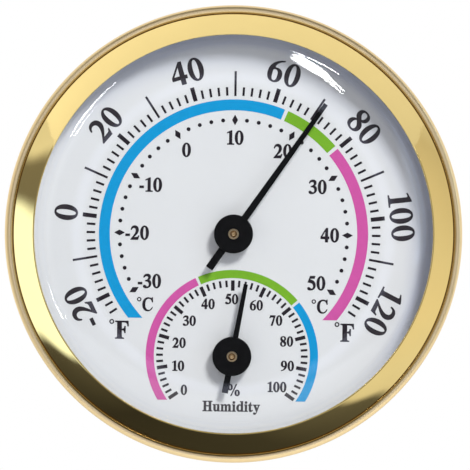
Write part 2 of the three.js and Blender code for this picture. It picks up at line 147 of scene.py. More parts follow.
# The ticks, as half their width and the radii they run between.
TICKS = {
    "temperature_fine": (0.25, 30.6, 32.5), "temperature_long": (0.25, 30.5, 36.0),
    "temperature_thick": (0.46, 30.5, 33.6), "humidity_fine": (0.25, 15.25, 16.75),
    "humidity_thick": (0.395, 14.45, 16.75),
}
DOTS = {"radius": 25.2, "dot_r": 0.44, "diamond_half_wide": 0.65, "diamond_half_tall": 1.2}

# The coloured bands: radii, the gap between two bands, the height at which the open ends
# are trimmed, the readings where the ink changes and the inks in turn.
BANDS = {
    "temperature": {
        "z": 0.0, "inner": 27.35, "outer": 29.75, "gap": 0.75, "level": -18.8,
        "scale": FAHRENHEIT, "changes": (63.5, 79.5), "inks": ("cool", "comfort", "warm"),
    },
    "humidity": {
        "z": HUMIDITY_Z, "inner": 17.25, "outer": 19.05, "gap": 0.57, "level": -9.85,
        "scale": HUMIDITY, "changes": (40, 70), "inks": ("warm", "comfort", "cool"),
    },
}

# The numerals and unit signs: the numerals' radius, how much heavier the strokes are made,
# and each unit sign's place, height and the outer and inner radius of its degree ring.
NUMERALS = {
    "fahrenheit": {
        "radius": 37.3, "weight": 0.09, "sign": "F", "x": 24.9, "z": -21.5, "height": 3.85,
        "ring_x": -1.75, "ring_z": -19.7, "ring_r": (0.55, 0.27),
    },
    "celsius": {
        "radius": 21.3, "weight": 0.095, "sign": "C", "x": 19.3, "z": -15.8, "height": 2.9,
        "ring_x": -1.35, "ring_z": -14.7, "ring_r": (0.5, 0.25),
    },
}
SIGN_SHIFT = 0.5
FAHRENHEIT_WIDEN = 1.1

# ---- properties ---------------------------------------------------------------------


def colour(name, description, default):
    return FloatVectorProperty(
        name=name, description=description, default=default, size=3,
        min=0.0, max=1.0, subtype="COLOR",
    )


def length(name, description, default):
    return FloatProperty(
        name=name, description=description, default=default, unit="LENGTH", subtype="DISTANCE",
    )


class PrintProperties(bpy.types.PropertyGroup):
    ink: colour("Ink", "Colour of the numerals and marks", (0.017, 0.012, 0.017))
    cool: colour("Cool band", "Blue band, for cold or humid", (0.003, 0.30, 0.62))
    comfort: colour("Comfort band", "Green band, for comfortable", (0.18, 0.42, 0.022))
    warm: colour("Warm band", "Pink band, for hot or dry", (0.60, 0.09, 0.345))
    height: length("Ink height", "How far the ink stands off the dial", 0.03 * MM)
    fahrenheit: length("Fahrenheit numerals", "Height of the outer numerals", 5.0 * MM)
    celsius: length("Celsius numerals", "Height of the inner numerals", 3.0 * MM)
    humidity: length("Humidity numerals", "Height of the lower numerals", 2.15 * MM)


class FinishProperties(bpy.types.PropertyGroup):
    gold: colour("Gold", "Plating of the bezel", (0.92, 0.715, 0.29))
    dial: colour("Dial", "Enamel of the dial", (0.735, 0.735, 0.735))
    pointer: colour("Pointers", "Paint of both pointers", (0.0035, 0.0035, 0.004))
    case: colour("Case", "Moulded back", (0.018, 0.018, 0.020))
    brass: colour("Brass", "Bushes and adjusters", (0.56, 0.42, 0.24))
    steel: colour("Steel", "Plates, screws and shafts", (0.56, 0.57, 0.59))


class StudioProperties(bpy.types.PropertyGroup):
    distance: length("Camera distance", "From the lens to the bezel's crest", 0.75)
    half_width: length("Half width", "Half of what the view takes in at the bezel", 51.3 * MM)
    key: FloatProperty(name="Key light", description="Main light's power", default=11.3, unit="POWER")


# ---- meshes -------------------------------------------------------------------------


def shade(mesh, sharp=32.0):
    """Smooth shading, with edges steeper than the given angle kept sharp."""
    mesh.shade_smooth()
    mesh.set_sharp_from_angle(angle=math.radians(sharp))


def stand_up(name, mesh, material=None):
    """A new object at the origin that shows the mesh."""
    piece = bpy.data.objects.new(name, mesh)
    bpy.context.scene.collection.objects.link(piece)
    if material:
        mesh.materials.clear()
        mesh.materials.append(material)
    return piece


def hand_over(piece, body, slot, *nodes):
    """Joins a finished piece to its body and hides the nodes it stands for. The slot is not used."""
    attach(piece, body)
    if nodes:
        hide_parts(*nodes)


def close_up(bm, name, sharp=32.0):
    """A clean mesh in metres from a bmesh in millimetres."""
    bmesh.ops.remove_doubles(bm, verts=bm.verts, dist=1e-4)
    bmesh.ops.recalc_face_normals(bm, faces=bm.faces)
    bmesh.ops.scale(bm, vec=(MM, MM, MM), verts=bm.verts)
    mesh = bpy.data.meshes.new(name)
    bm.to_mesh(mesh)
    bm.free()
    shade(mesh, sharp)
    return mesh


def add_turned(bm, profile, sides, x=0.0, z=0.0):
    """Turns (radius, y) points about an axis along Y. The profile meets the axis at both
    ends or closes on itself."""
    rings = []
    for radius, y in profile:
        if radius < 1e-6:
            rings.append([bm.verts.new((x, y, z))])
            continue
        circle = circle_outline(radius, x, z, sides)
        rings.append([bm.verts.new((across, y, up)) for across, up in circle])
    pairs = list(zip(rings, rings[1:]))
    if len(rings[0]) > 1 and len(rings[-1]) > 1:
        pairs.append((rings[-1], rings[0]))
    for near, far in pairs:
        for i in range(sides):
            j = (i + 1) % sides
            corners = [near[i % len(near)], near[j % len(near)], far[j % len(far)], far[i % len(far)]]
            corners = list(dict.fromkeys(corners))
            if len(corners) > 2:
                bm.faces.new(corners)


def turned(name, profile, sides=240, x=0.0, z=0.0, sharp=32.0):
    bm = bmesh.new()
    add_turned(bm, profile, sides, x, z)
    return close_up(bm, name, sharp)


def angles_between(start, stop, steps):
    """Even steps from one angle in degrees to another, in radians."""
    return [math.radians(start + (stop - start) * i / steps) for i in range(steps + 1)]


def arc(centre_x, centre_y, radius, start, stop, steps):
    """Points of an arc about a centre, anticlockwise from the first axis."""
    turn = angles_between(start, stop, steps)
    return [(centre_x + radius * math.cos(a), centre_y + radius * math.sin(a)) for a in turn]


def bow(radius, z, start, stop, steps):
    """Points (x, z) of an arc about a centre straight above or below the axis, clockwise
    from straight up."""
    turn = angles_between(start, stop, steps)
    return [(radius * math.sin(a), z + radius * math.cos(a)) for a in turn]


def add_prism(bm, outline, front, back):
    """A flat outline in (x, z) given thickness from front to back."""
    near = [bm.verts.new((x, front, z)) for x, z in outline]
    far = [bm.verts.new((x, back, z)) for x, z in outline]
    bm.faces.new(near)
    bm.faces.new(far)
    for i in range(len(outline)):
        j = (i + 1) % len(outline)
        bm.faces.new((near[i], near[j], far[j], far[i]))


def box_outline(x0, x1, z0, z1):
    return [(x0, z0), (x1, z0), (x1, z1), (x0, z1)]


def circle_outline(radius, x=0.0, z=0.0, sides=48):
    turn = [2 * math.pi * i / sides for i in range(sides)]
    return [(x + radius * math.sin(a), z + radius * math.cos(a)) for a in turn]


def swung(points, angle, z=0.0):
    """Turns (x, z) points clockwise about the axis at height z."""
    s, c = math.sin(math.radians(angle)), math.cos(math.radians(angle))
    return [(px * c + pz * s, z - px * s + pz * c) for px, pz in points]


def applied(piece):
    """The piece with its modifiers worked into a plain mesh."""
    evaluated = piece.evaluated_get(bpy.context.evaluated_depsgraph_get())
    mesh = bpy.data.meshes.new_from_object(evaluated)
    old = piece.data
    piece.modifiers.clear()
    piece.data = mesh
    if isinstance(old, bpy.types.Mesh):
        bpy.data.meshes.remove(old)
    return piece


def carved(piece, cutter_mesh, operation="DIFFERENCE"):
    """Cuts a mesh out of a piece, or joins it on."""
    cutter = stand_up(piece.name + "_tool", cutter_mesh)
    modifier = piece.modifiers.new("carve", "BOOLEAN")
    modifier.operation = operation
    modifier.solver = "EXACT"
    modifier.use_self = True
    modifier.object = cutter
    applied(piece)
    bpy.data.objects.remove(cutter)
    return piece


# ---- node trees that repeat a mark, follow a path or wind a coil --------------------


class Tree:
    """A Geometry Nodes tree that is built one node at a time."""

    KINDS = {
        "geometry": "NodeSocketGeometry", "integer": "NodeSocketInt", "number": "NodeSocketFloat",
        "vector": "NodeSocketVector", "material": "NodeSocketMaterial",
    }

    def __init__(self, name, **inputs):
        self.group = bpy.data.node_groups.new(name, "GeometryNodeTree")
        sides = self.group.interface
        sides.new_socket(name="Geometry", in_out="INPUT", socket_type="NodeSocketGeometry")
        for label, kind in inputs.items():
            plain = label.replace("_", " ").capitalize()
            sides.new_socket(name=plain, in_out="INPUT", socket_type=self.KINDS[kind])
        sides.new_socket(name="Geometry", in_out="OUTPUT", socket_type="NodeSocketGeometry")
        self.start = self.group.nodes.new("NodeGroupInput")

    def value(self, label):
        return self.start.outputs[label.replace("_", " ").capitalize()]

    def add(self, kind, settings=None, inputs=None):
        """A node of this kind, with its settings and then its inputs by name or number."""
        node = self.group.nodes.new(kind)
        for key, setting in (settings or {}).items():
            setattr(node, key, setting)
        for key, given in (inputs or {}).items():
            if isinstance(given, bpy.types.NodeSocket):
                self.group.links.new(given, node.inputs[key])
            else:
                node.inputs[key].default_value = given
        return node.outputs[0] if node.outputs else node

    def maths(self, operation, *terms):
        return self.add("ShaderNodeMath", {"operation": operation}, dict(enumerate(terms)))

    def end(self, geometry):
        """Closes the tree with real geometry in the chosen material."""
        real = self.add("GeometryNodeRealizeInstances", inputs={"Geometry": geometry})
        painted = self.add("GeometryNodeSetMaterial", inputs={
            "Geometry": real, "Material": self.value("material"),
        })
        out = self.group.nodes.new("NodeGroupOutput")
        self.group.links.new(painted, out.inputs["Geometry"])
        return self.group

    @staticmethod
    def run(piece, group, **inputs):
        """Runs the tree on a piece and keeps the result as its mesh."""
        modifier = piece.modifiers.new(group.name, "NODES")
        modifier.node_group = group
        wanted = {key.replace("_", " ").capitalize(): given for key, given in inputs.items()}
        for item in group.interface.items_tree:
            if item.item_type == "SOCKET" and item.in_out == "INPUT" and item.name in wanted:
                modifier[item.identifier] = wanted[item.name]
        applied(piece)
        mesh = piece.data
        finish = next(kept for kept in mesh.materials if kept)
        mesh.polygons.foreach_set("material_index", [0] * len(mesh.polygons))
        mesh.materials.clear()
        mesh.materials.append(finish)
        shade(mesh)
        return piece


def ring_tree():
    """Repeats the piece's own mesh round an axis along Y, leaving some places out."""
    tree = Tree(
        "ring_of_marks", count="integer", start="number", step="number", centre="vector",
        skip_every="integer", skip_first="integer", material="material",
    )
    points = tree.add("GeometryNodePoints", inputs={
        "Count": tree.value("count"), "Position": tree.value("centre"),
    })
    index = tree.add("GeometryNodeInputIndex")
    place = tree.maths("SUBTRACT", index, tree.value("skip_first"))
    place = tree.maths("FLOORED_MODULO", place, tree.value("skip_every"))
    shown = tree.maths("GREATER_THAN", place, 0.5)
    angle = tree.maths("MULTIPLY_ADD", index, tree.value("step"), tree.value("start"))
    turn = tree.add("ShaderNodeCombineXYZ", inputs={"Y": angle})
    marks = tree.add("GeometryNodeInstanceOnPoints", inputs={
        "Points": points, "Selection": shown, "Instance": tree.value("geometry"), "Rotation": turn,
    })
    return tree.end(marks)


def wire_tree():
    """Draws a round wire along the piece's own edges."""
    tree = Tree("wire_on_path", radius="number", sides="integer", material="material")
    path = tree.add("GeometryNodeMeshToCurve", inputs={"Mesh": tree.value("geometry")})
    section = tree.add("GeometryNodeCurvePrimitiveCircle", inputs={
        "Resolution": tree.value("sides"), "Radius": tree.value("radius"),
    })
    wire = tree.add("GeometryNodeCurveToMesh", inputs={
        "Curve": path, "Profile Curve": section, "Fill Caps": True,
    })
    return tree.end(wire)


def coil_tree():
    """Winds a flat strip into a spiral about an axis along Y."""
    tree = Tree(
        "flat_coil", turns="number", inner="number", outer="number", thickness="number",
        width="number", centre="vector", material="material",
    )
    spiral = tree.add("GeometryNodeCurveSpiral", inputs={
        "Resolution": 64, "Rotations": tree.value("turns"), "Start Radius": tree.value("inner"),
        "End Radius": tree.value("outer"), "Height": 0.0,
    })
    section = tree.add("GeometryNodeCurvePrimitiveQuadrilateral", inputs={
        "Width": tree.value("thickness"), "Height": tree.value("width"),
    })
    strip = tree.add("GeometryNodeCurveToMesh", inputs={
        "Curve": spiral, "Profile Curve": section, "Fill Caps": True,
    })
    placed = tree.add("GeometryNodeTransform", inputs={
        "Geometry": strip, "Translation": tree.value("centre"), "Rotation": (math.pi / 2, 0, 0),
    })
    return tree.end(placed)


# ---- shading ------------------------------------------------------------------------


class Value:
    """A shader socket that takes part in Python arithmetic."""

    def __init__(self, finish, socket):
        self.finish, self.socket = finish, socket

    def maths(self, operation, *terms):
        return self.finish.add("ShaderNodeMath", {"operation": operation}, dict(enumerate(terms)))

    def __add__(self, other):
        return self.maths("ADD", self, other)

    def __sub__(self, other):
        return self.maths("SUBTRACT", self, other)

    def __rsub__(self, other):
        return self.maths("SUBTRACT", other, self)

    def __mul__(self, other):
        return self.maths("MULTIPLY", self, other)

    def __truediv__(self, other):
        return self.maths("DIVIDE", self, other)

    def __pow__(self, other):
        return self.maths("POWER", self, other)

    __radd__ = __add__
    __rmul__ = __mul__

    def step(self, low, high):
        """0 below low, 1 above high and smooth between."""
        settings = {"interpolation_type": "SMOOTHSTEP"}
        return self.finish.add("ShaderNodeMapRange", settings, {
            "Value": self, "From Min": low, "From Max": high,
        })

    def step_mm(self, low, high):
        """A step between two places in millimetres."""
        return self.step(low * MM, high * MM)


class Finish:
    """A material or world whose nodes are added one at a time."""

    def __init__(self, name, owner=None):
        self.owner = owner or bpy.data.materials.new(name)
        self.owner.use_nodes = True
        self.nodes = self.owner.node_tree.nodes
        self.links = self.owner.node_tree.links
        self.nodes.clear()

    def add(self, kind, settings=None, inputs=None, output=0):
        node = self.nodes.new(kind)
        for key, setting in (settings or {}).items():
            setattr(node, key, setting)
        for key, given in (inputs or {}).items():
            if isinstance(given, Value):
                self.links.new(given.socket, node.inputs[key])
            else:
                node.inputs[key].default_value = given
        return Value(self, node.outputs[output])

    def place(self):
        """Where a point is on the object."""
        return self.add("ShaderNodeTexCoord", output="Object")

    def noise(self, scale, detail=3.0, stretch=None, roughness=0.5):
        """Noise from 0 to 1; scale is in cycles per metre, stretch pulls each axis."""
        vector = self.place()
        if stretch:
            vector = self.add("ShaderNodeMapping", inputs={"Vector": vector, "Scale": stretch})
        return self.add("ShaderNodeTexNoise", inputs={
            "Vector": vector, "Scale": scale, "Detail": detail, "Roughness": roughness,
        })

    def parts(self):
        """The x, y and z of a point on the object."""
        node = self.nodes.new("ShaderNodeSeparateXYZ")
        self.links.new(self.place().socket, node.inputs[0])
        return [Value(self, socket) for socket in node.outputs]

    def radius(self, z=0.0):
        """Distance from an axis along Y at the given height."""
        x, _, up = self.parts()
        up = up - z * MM
        return (x * x + up * up) ** 0.5

    def blend(self, factor, first, second):
        """A colour between two colours."""
        node = self.nodes.new("ShaderNodeMix")
        node.data_type = "RGBA"
        for key, given in (("Factor", factor), ("A", first), ("B", second)):
            socket = next(s for s in node.inputs if s.name == key and s.enabled)
            if isinstance(given, Value):
                self.links.new(given.socket, socket)
            else:
                socket.default_value = given if key == "Factor" else (*given[:3], 1.0)
        return Value(self, next(s for s in node.outputs if s.enabled))

    def bump(self, height, strength, distance):
        return self.add("ShaderNodeBump", inputs={
            "Height": height, "Strength": strength, "Distance": distance,
        })

    def surface(self, **inputs):
        """Ends the material in one Principled shader."""
        named = {key.replace("_", " ").title().replace("Ior", "IOR"): given
                 for key, given in inputs.items()}
        for key, given in named.items():
            if key == "Base Color" and not isinstance(given, Value):
                named[key] = (*given[:3], 1.0)
        self.finished(self.add("ShaderNodeBsdfPrincipled", inputs=named))
        return self.owner

    def finished(self, shader):
        out = self.nodes.new("ShaderNodeOutputMaterial")
        self.links.new(shader.socket, out.inputs["Surface"])


def tinted(base, by):
    """The colour made lighter or darker."""
    return tuple(min(1.0, channel * by) for channel in base)


def gold_plate(base):
    """Polished plating: faint polishing haze, and duller on the rolled edge. The front of the rolled edge is
    painted a paler, whiter gold as a painted sheen, and the groove beside it is painted dark brown as
    painted shade."""
    finish = Finish("gold_plate")
    haze = finish.noise(160.0, 4.0)
    fine = finish.noise(2600.0, 2.0)
    radius = finish.radius()
    _, y, _ = finish.parts()
    # Painted sheen: the front of the rolled edge gets a paler, whiter gold for its highlight. The roughness
    # added there is real.
    rolled = radius.step_mm(*GOLD["rolled_dull_and_sheen_r"]) * (1.0 - y.step_mm(*GOLD["rolled_dull_and_sheen_y"]))
    # Painted shade: the groove between the dished face and the rolled edge is painted dark brown.
    groove = radius.step_mm(*GOLD["groove_shade_in_r"]) * (1.0 - radius.step_mm(*GOLD["groove_shade_out_r"]))
    tone = finish.blend(haze, tinted(base, 0.97), tinted(base, 1.03))
    # Painted sheen on the front of the rolled edge.
    tone = finish.blend(rolled, tone, (1.0, 0.78, 0.42))
    # Painted shade in the groove.
    tone = finish.blend(groove * 0.9, tone, (0.30, 0.165, 0.03))
    return finish.surface(
        base_color=tone, metallic=1.0, roughness=haze * 0.04 + fine * 0.02 + 0.02 + rolled * 0.3,
        normal=finish.bump(fine, 0.05, 0.01 * MM),
    )


def clear_lens():
    """Clear acrylic, mirroring more where it is seen edge on. Its outer shoulder is tinted grey towards the
    rim,
    most to the upper right: painted shade for the bezel's shadow on the dial."""
    finish = Finish("clear_lens")
    clear = finish.add("ShaderNodeBsdfTransparent", inputs={"Color": (0.985, 0.99, 0.99, 1)})
    # Painted shade: the grey seen through the lens's outer shoulder.
    grey = finish.add("ShaderNodeBsdfTransparent", inputs={"Color": (0.80, 0.82, 0.88, 1)})
    mirror = finish.add("ShaderNodeBsdfGlossy", inputs={
        "Color": (1, 1, 1, 1), "Roughness": finish.noise(300.0) * 0.02 + 0.01,
    })
    tilt = finish.add("ShaderNodeLayerWeight", inputs={"Blend": 0.5}, output="Facing")
    x, _, up = finish.parts()
    # Painted shade, strongest to the upper right where the bezel's shadow falls and faint all round the rim.
    bezel_shadow_side = (x * 0.6 + up * 0.8).step_mm(*LENS_PAINTED_SHADE["across"]) * 0.9 + 0.1
    steep = finish.radius().step_mm(*LENS_PAINTED_SHADE["r"]) * bezel_shadow_side
    through = finish.add("ShaderNodeMixShader", inputs={0: steep, 1: clear, 2: grey})
    share = tilt ** 4 * 0.9 + 0.032
    finish.finished(finish.add("ShaderNodeMixShader", inputs={0: share, 1: through, 2: mirror}))
    return finish.owner


def dial_enamel(base):
    finish = Finish("dial_enamel")
    cloud = finish.noise(60.0, 3.0)
    grain = finish.noise(4200.0, 2.0)
    return finish.surface(
        base_color=finish.blend(cloud, tinted(base, 0.985), tinted(base, 1.015)),
        roughness=grain * 0.12 + 0.34, normal=finish.bump(grain, 0.06, 0.01 * MM),
    )


def printing_ink(name, base):
    finish = Finish(name)
    cloud = finish.noise(700.0, 2.0)
    grain = finish.noise(9000.0, 2.0)
    return finish.surface(
        base_color=finish.blend(cloud, tinted(base, 0.93), tinted(base, 1.07)),
        roughness=grain * 0.15 + 0.38, specular_ior_level=0.2,
        normal=finish.bump(grain, 0.08, 0.01 * MM),
    )


def pointer_paint(base):
    finish = Finish("pointer_paint")
    cloud = finish.noise(900.0, 4.0)
    grain = finish.noise(6000.0, 3.0)
    return finish.surface(
        base_color=finish.blend(cloud, tinted(base, 0.8), tinted(base, 1.5)),
        roughness=cloud * 0.18 + 0.42, specular_ior_level=0.06,
        normal=finish.bump(grain, 0.25, 0.02 * MM),
    )


TOOL_MARK_PITCH = 0.09


def turned_metal(name, base, z=None, rough=0.28):
    """Metal with a little tarnish and fine tool marks: round the axis at height z, or along
    the piece where it has none."""
    finish = Finish(name)
    tarnish = finish.noise(900.0, 4.0)
    if z is None:
        marks = finish.noise(2500.0, 2.0, (1.0, 12.0, 1.0))
    else:
        phase = finish.radius(z) * (2 * math.pi / (TOOL_MARK_PITCH * MM))
        marks = phase.maths("SINE", phase) * 0.5 + 0.5
    return finish.surface(
        base_color=finish.blend(tarnish, tinted(base, 0.7), tinted(base, 1.12)),
        metallic=1.0, roughness=tarnish * 0.16 + rough, normal=finish.bump(marks, 0.12, 0.01 * MM),
    )


def rolled_strip(name, base):
    """Sheet or strip, with rolling marks along it and slight staining."""
    finish = Finish(name)
    stain = finish.noise(240.0, 4.0)
    lines = finish.noise(1500.0, 2.0, (0.06, 1.0, 1.0))
    return finish.surface(
        base_color=finish.blend(stain, tinted(base, 0.82), tinted(base, 1.1)), metallic=1.0,
        roughness=lines * 0.16 + 0.26, normal=finish.bump(lines, 0.1, 0.01 * MM),
    )


def moulded_plastic(name, base, grain_scale, rough, strength=0.3):
    """Moulded plastic with a spark-eroded grain and slight flow marks."""
    finish = Finish(name)
    grain = finish.add("ShaderNodeTexVoronoi", {"feature": "SMOOTH_F1"}, {
        "Vector": finish.place(), "Scale": grain_scale, "Smoothness": 0.6,
    })
    flow = finish.noise(35.0, 3.0)
    return finish.surface(
        base_color=finish.blend(flow, tinted(base, 0.9), tinted(base, 1.12)),
        roughness=flow * 0.08 + grain * 0.1 + rough,
        normal=finish.bump(grain, strength, 0.03 * MM),
    )


def rubber(name, base):
    finish = Finish(name)
    dust = finish.noise(420.0, 5.0)
    return finish.surface(
        base_color=finish.blend(dust, tinted(base, 0.85), tinted(base, 1.5)),
        roughness=dust * 0.12 + 0.72, normal=finish.bump(finish.noise(5000.0), 0.2, 0.02 * MM),
    )


def studio_white():
    finish = Finish("studio_white")
    cloud = finish.noise(3.0)
    return finish.surface(
        base_color=finish.blend(cloud, (0.72, 0.72, 0.73), (0.75, 0.75, 0.75)), roughness=0.85,
    )


MADE = {}


def material(name):
    """The named finish, made the first time it is asked for."""
    if name in MADE:
        return MADE[name]
    scene = bpy.context.scene
    paint, colours = scene.instrument_print, scene.instrument_finish
    makers = {
        "gold_plate": lambda: gold_plate(colours.gold),
        "clear_lens": clear_lens,
        "dial_enamel": lambda: dial_enamel(colours.dial),
        "black_ink": lambda: printing_ink("black_ink", paint.ink),
        "cool_ink": lambda: printing_ink("cool_ink", paint.cool),
        "comfort_ink": lambda: printing_ink("comfort_ink", paint.comfort),
        "warm_ink": lambda: printing_ink("warm_ink", paint.warm),
        "pointer_paint": lambda: pointer_paint(colours.pointer),
        "temperature_brass": lambda: turned_metal("temperature_brass", colours.brass, 0.0),
        "humidity_brass": lambda: turned_metal("humidity_brass", colours.brass, HUMIDITY_Z),
        "temperature_pin": lambda: turned_metal("temperature_pin", (0.72, 0.50, 0.27), 0.0, 0.16),
        "humidity_pin": lambda: turned_metal("humidity_pin", (0.72, 0.50, 0.27), HUMIDITY_Z, 0.16),
        "plated_steel": lambda: rolled_strip("plated_steel", colours.steel),
        "coil_strip": lambda: rolled_strip("coil_strip", (0.45, 0.38, 0.30)),
        "bright_wire": lambda: turned_metal("bright_wire", (0.70, 0.71, 0.73), None, 0.12),
        "grained_case": lambda: moulded_plastic("grained_case", colours.case, 1500.0, 0.42),
        "white_plastic": lambda: moulded_plastic("white_plastic", (0.80, 0.81, 0.82), 900.0, 0.4, 0.1),
        "gasket_rubber": lambda: rubber("gasket_rubber", (0.55, 0.57, 0.60)),
        "foot_rubber": lambda: rubber("foot_rubber", (0.02, 0.02, 0.021)),
        "studio_white": studio_white,
    }
    MADE[name] = makers[name]()
    return MADE[name]


# ---- lettering ----------------------------------------------------------------------

# Bold serif letters, 100 units high. Each outline starts at its first point; a pair
# of numbers draws a line to it and six numbers draw a curve, as two handles and an end.
# A letter is its width, its outlines and then any holes in them.
LETTERS = {
    "0": (66, ["33 101|50 101 63 79 63 50|63 21 50 -1 33 -1|16 -1 3 21 3 50|3 79 16 101 33 101"],
          ["33 95|24 95 20 76 20 50|20 24 24 5 33 5|42 5 46 24 46 50|46 76 42 95 33 95"]),
    "1": (60, ["41 101|38 101|9 87|9 84|14 86 18 87 20 87|25 87 26 84 26 78|26 14|26 6 22 4 11 4"
               "|11 0|58 0|58 4|47 4 43 6 43 14|43 101"]),
    "2": (66, ["3 3|3 0|54 0|62 27|59 27|55 18 51 16 42 16|22 16|34 28 40 34 45 40"
               "|54 51 58 60 58 70|58 88 47 101 31 101|16 101 7 91 4 73|7 72|11 82 16 87 24 87"
               "|34 87 41 80 41 68|41 53 31 34 3 3"]),
    "3": (64, ["5 79|9 94 19 101 32 101|47 101 56 93 56 80|56 71 51 64 41 58|54 53 60 45 60 32"
               "|60 12 44 -1 23 -1|10 -1 3 4 3 11|3 16 6 19 11 19|15 19 17 18 22 13"
               "|26 9 28 7 32 7|40 7 46 14 46 26|46 41 37 50 18 50|18 53|33 57 41 64 41 75"
               "|41 83 36 88 28 88|19 88 13 84 8 77"]),
    "4": (66, ["62 24|62 38|52 38|52 101|41 101|2 37|2 24|35 24|35 0|52 0|52 24"],
          ["35 38|9 38|35 81"]),
    "5": (64, ["57 101|22 101|6 57|34 55 46 45 46 28|46 16 40 7 32 7|29 7 27 9 23 13"
               "|18 17 15 19 11 19|6 19 3 16 3 11|3 4 10 -1 22 -1|45 -1 60 12 60 34"
               "|60 57 46 72 18 76|22 86|52 86"]),
    "6": (66, ["59 101|24 94 4 72 4 41|4 15 15 -1 34 -1|51 -1 62 12 62 32|62 51 52 62 37 62"
                   "|35 62 33 62 31 61|26 67|30 82 40 92 59 98"],
          ["31 56|41 56 46 47 46 29|46 11 42 4 34 4|25 4 21 14 21 36|21 43 21 49 22 53"
               "|25 55 28 56 31 56"]),
    "7": (64, ["4 76|12 100|61 100|61 96|33 -1|19 -1|46 84|24 84|15 84 12 82 7 75"]),
    "8": (66, ["34 101|51 101 60 91 60 77|60 67 55 60 43 54|56 46 62 38 62 26"
               "|62 10 51 -1 33 -1|15 -1 4 9 4 24|4 34 9 42 22 50|10 58 6 65 6 75"
               "|6 91 17 101 34 101"],
          ["33 96|25 96 20 91 20 84|20 76 26 69 38 59|44 64 47 70 47 78|47 89 42 96 33 96",
               "26 47|20 41 18 35 18 26|18 12 24 4 33 4|42 4 47 9 47 18|47 28 40 36 26 47"]),
    "-": (34, ["3 40|31 40|31 27|3 27"]),
    "C": (82, ["79 28|72 10 60 -1 44 -1|19 -1 4 19 4 49|4 80 21 101 47 101|55 101 61 99 68 96"
               "|74 94 75 97 76 101|79 101|80 68|77 68|73 86 64 95 50 95|31 95 21 79 21 49"
               "|21 21 31 5 49 5|60 5 69 11 76 26"]),
    "F": (80, ["3 100|76 100|78 72|74 72|72 88 66 94 52 94|38 94|38 54|50 54 54 57 56 70|60 70"
               "|60 33|56 33|54 46 50 49 38 49|38 14|38 6 41 4 51 3|51 0|3 0|3 3|12 4 15 6 15 14"
               "|15 86|15 94 12 96 3 97"]),
    "%": (112, ["76 101|83 101|36 -1|29 -1",
                "25 101|38 101 46 90 46 75|46 60 38 49 25 49|12 49 4 60 4 75|4 90 12 101 25 101",
                "87 51|100 51 108 40 108 25|108 10 100 -1 87 -1|74 -1 66 10 66 25|66 40 74 51 87 51"],
          ["25 96|19 96 17 88 17 75|17 62 19 54 25 54|31 54 33 62 33 75|33 88 31 96 25 96",
           "87 46|81 46 79 38 79 25|79 12 81 4 87 4|93 4 95 12 95 25|95 38 93 46 87 46"]),
    "H": (100, ["3 100|46 100|46 97|37 96 34 94 34 86|34 55|66 55|66 86|66 94 63 96 54 97|54 100"
                "|97 100|97 97|88 96 85 94 85 86|85 14|85 6 88 4 97 3|97 0|54 0|54 3"
                "|63 4 66 6 66 14|66 49|34 49|34 14|34 6 37 4 46 3|46 0|3 0|3 3|12 4 15 6 15 14"
                "|15 86|15 94 12 96 3 97"]),
    "u": (73, ["2 67|26 67|26 21|26 12 29 8 34 8|39 8 43 11 46 17|46 54|46 61 44 63 37 64|37 67"
               "|63 67|63 14|63 6 64 4 71 3|71 0|46 0|46 10|39 2 33 -1 26 -1|15 -1 9 7 9 19|9 54"
               "|9 61 7 63 2 64"]),
    "m": (112, ["3 64|3 67|26 67|26 57|33 66 39 69 46 69|54 69 59 65 62 57|69 66 76 69 83 69"
                "|94 69 100 62 100 48|100 13|100 6 102 4 109 3|109 0|75 0|75 3|81 4 83 6 83 13"
                "|83 46|83 56 81 60 75 60|70 60 66 57 63 50|63 13|63 6 65 4 71 3|71 0|40 0|40 3"
                "|45 4 47 6 47 13|47 46|47 56 45 60 39 60|34 60 30 57 26 51|26 13|26 6 28 4 34 3"
                "|34 0|3 0|3 3|8 4 10 6 10 13|10 54|10 61 8 63 3 64"]),
    "i": (38, ["3 64|3 67|27 67|27 13|27 6 29 4 35 3|35 0|3 0|3 3|9 4 10 6 10 13|10 54"
               "|10 61 9 63 3 64",
               "18 99|24 99 28 95 28 89|28 83 24 79 18 79|12 79 8 83 8 89|8 95 12 99 18 99"]),
    "d": (76, ["66 14|66 7 68 5 75 4|75 1|50 -1|50 9|44 2 38 -1 31 -1|14 -1 4 13 4 34"
               "|4 55 16 69 33 69|39 69 44 67 49 61|49 86|49 94 47 96 40 97|40 100|66 100"],
          ["49 50|47 58 43 63 37 63|28 63 23 53 23 34|23 16 28 8 36 8|41 8 45 11 49 17"]),
    "t": (44, ["37 67|37 61|24 61|24 19|24 11 26 8 30 8|33 8 36 10 39 15|42 13|38 4 31 -1 23 -1"
               "|12 -1 7 5 7 17|7 61|1 61|1 64|10 70 16 78 21 90|24 90|24 67"]),
    "y": (68, ["2 67|34 67|34 64|28 63 27 60 29 54|40 27|49 52|51 59 49 64 42 64|42 67|66 67"
               "|66 64|61 63 59 60 56 52|36 -6|30 -23 24 -29 15 -29|8 -29 3 -25 3 -19"
               "|3 -14 6 -11 11 -11|15 -11 18 -14 19 -19|20 -24 26 -22 32 -7|33 -2|11 54"
               "|8 61 6 63 2 64"]),
}
LETTER_GAP = 4


def turned_letter(width, *groups):
    """A letter turned half round, as a nine is a six."""
    def turned_steps(outline):
        return "|".join(
            " ".join(
                str((100 if i % 2 else width) - int(number))
                for i, number in enumerate(step.split())
            )
            for step in outline.split("|")
        )

    return width, *([turned_steps(outline) for outline in group] for group in groups)


LETTERS["9"] = turned_letter(*LETTERS["6"])


CURVE_STEPS = 7


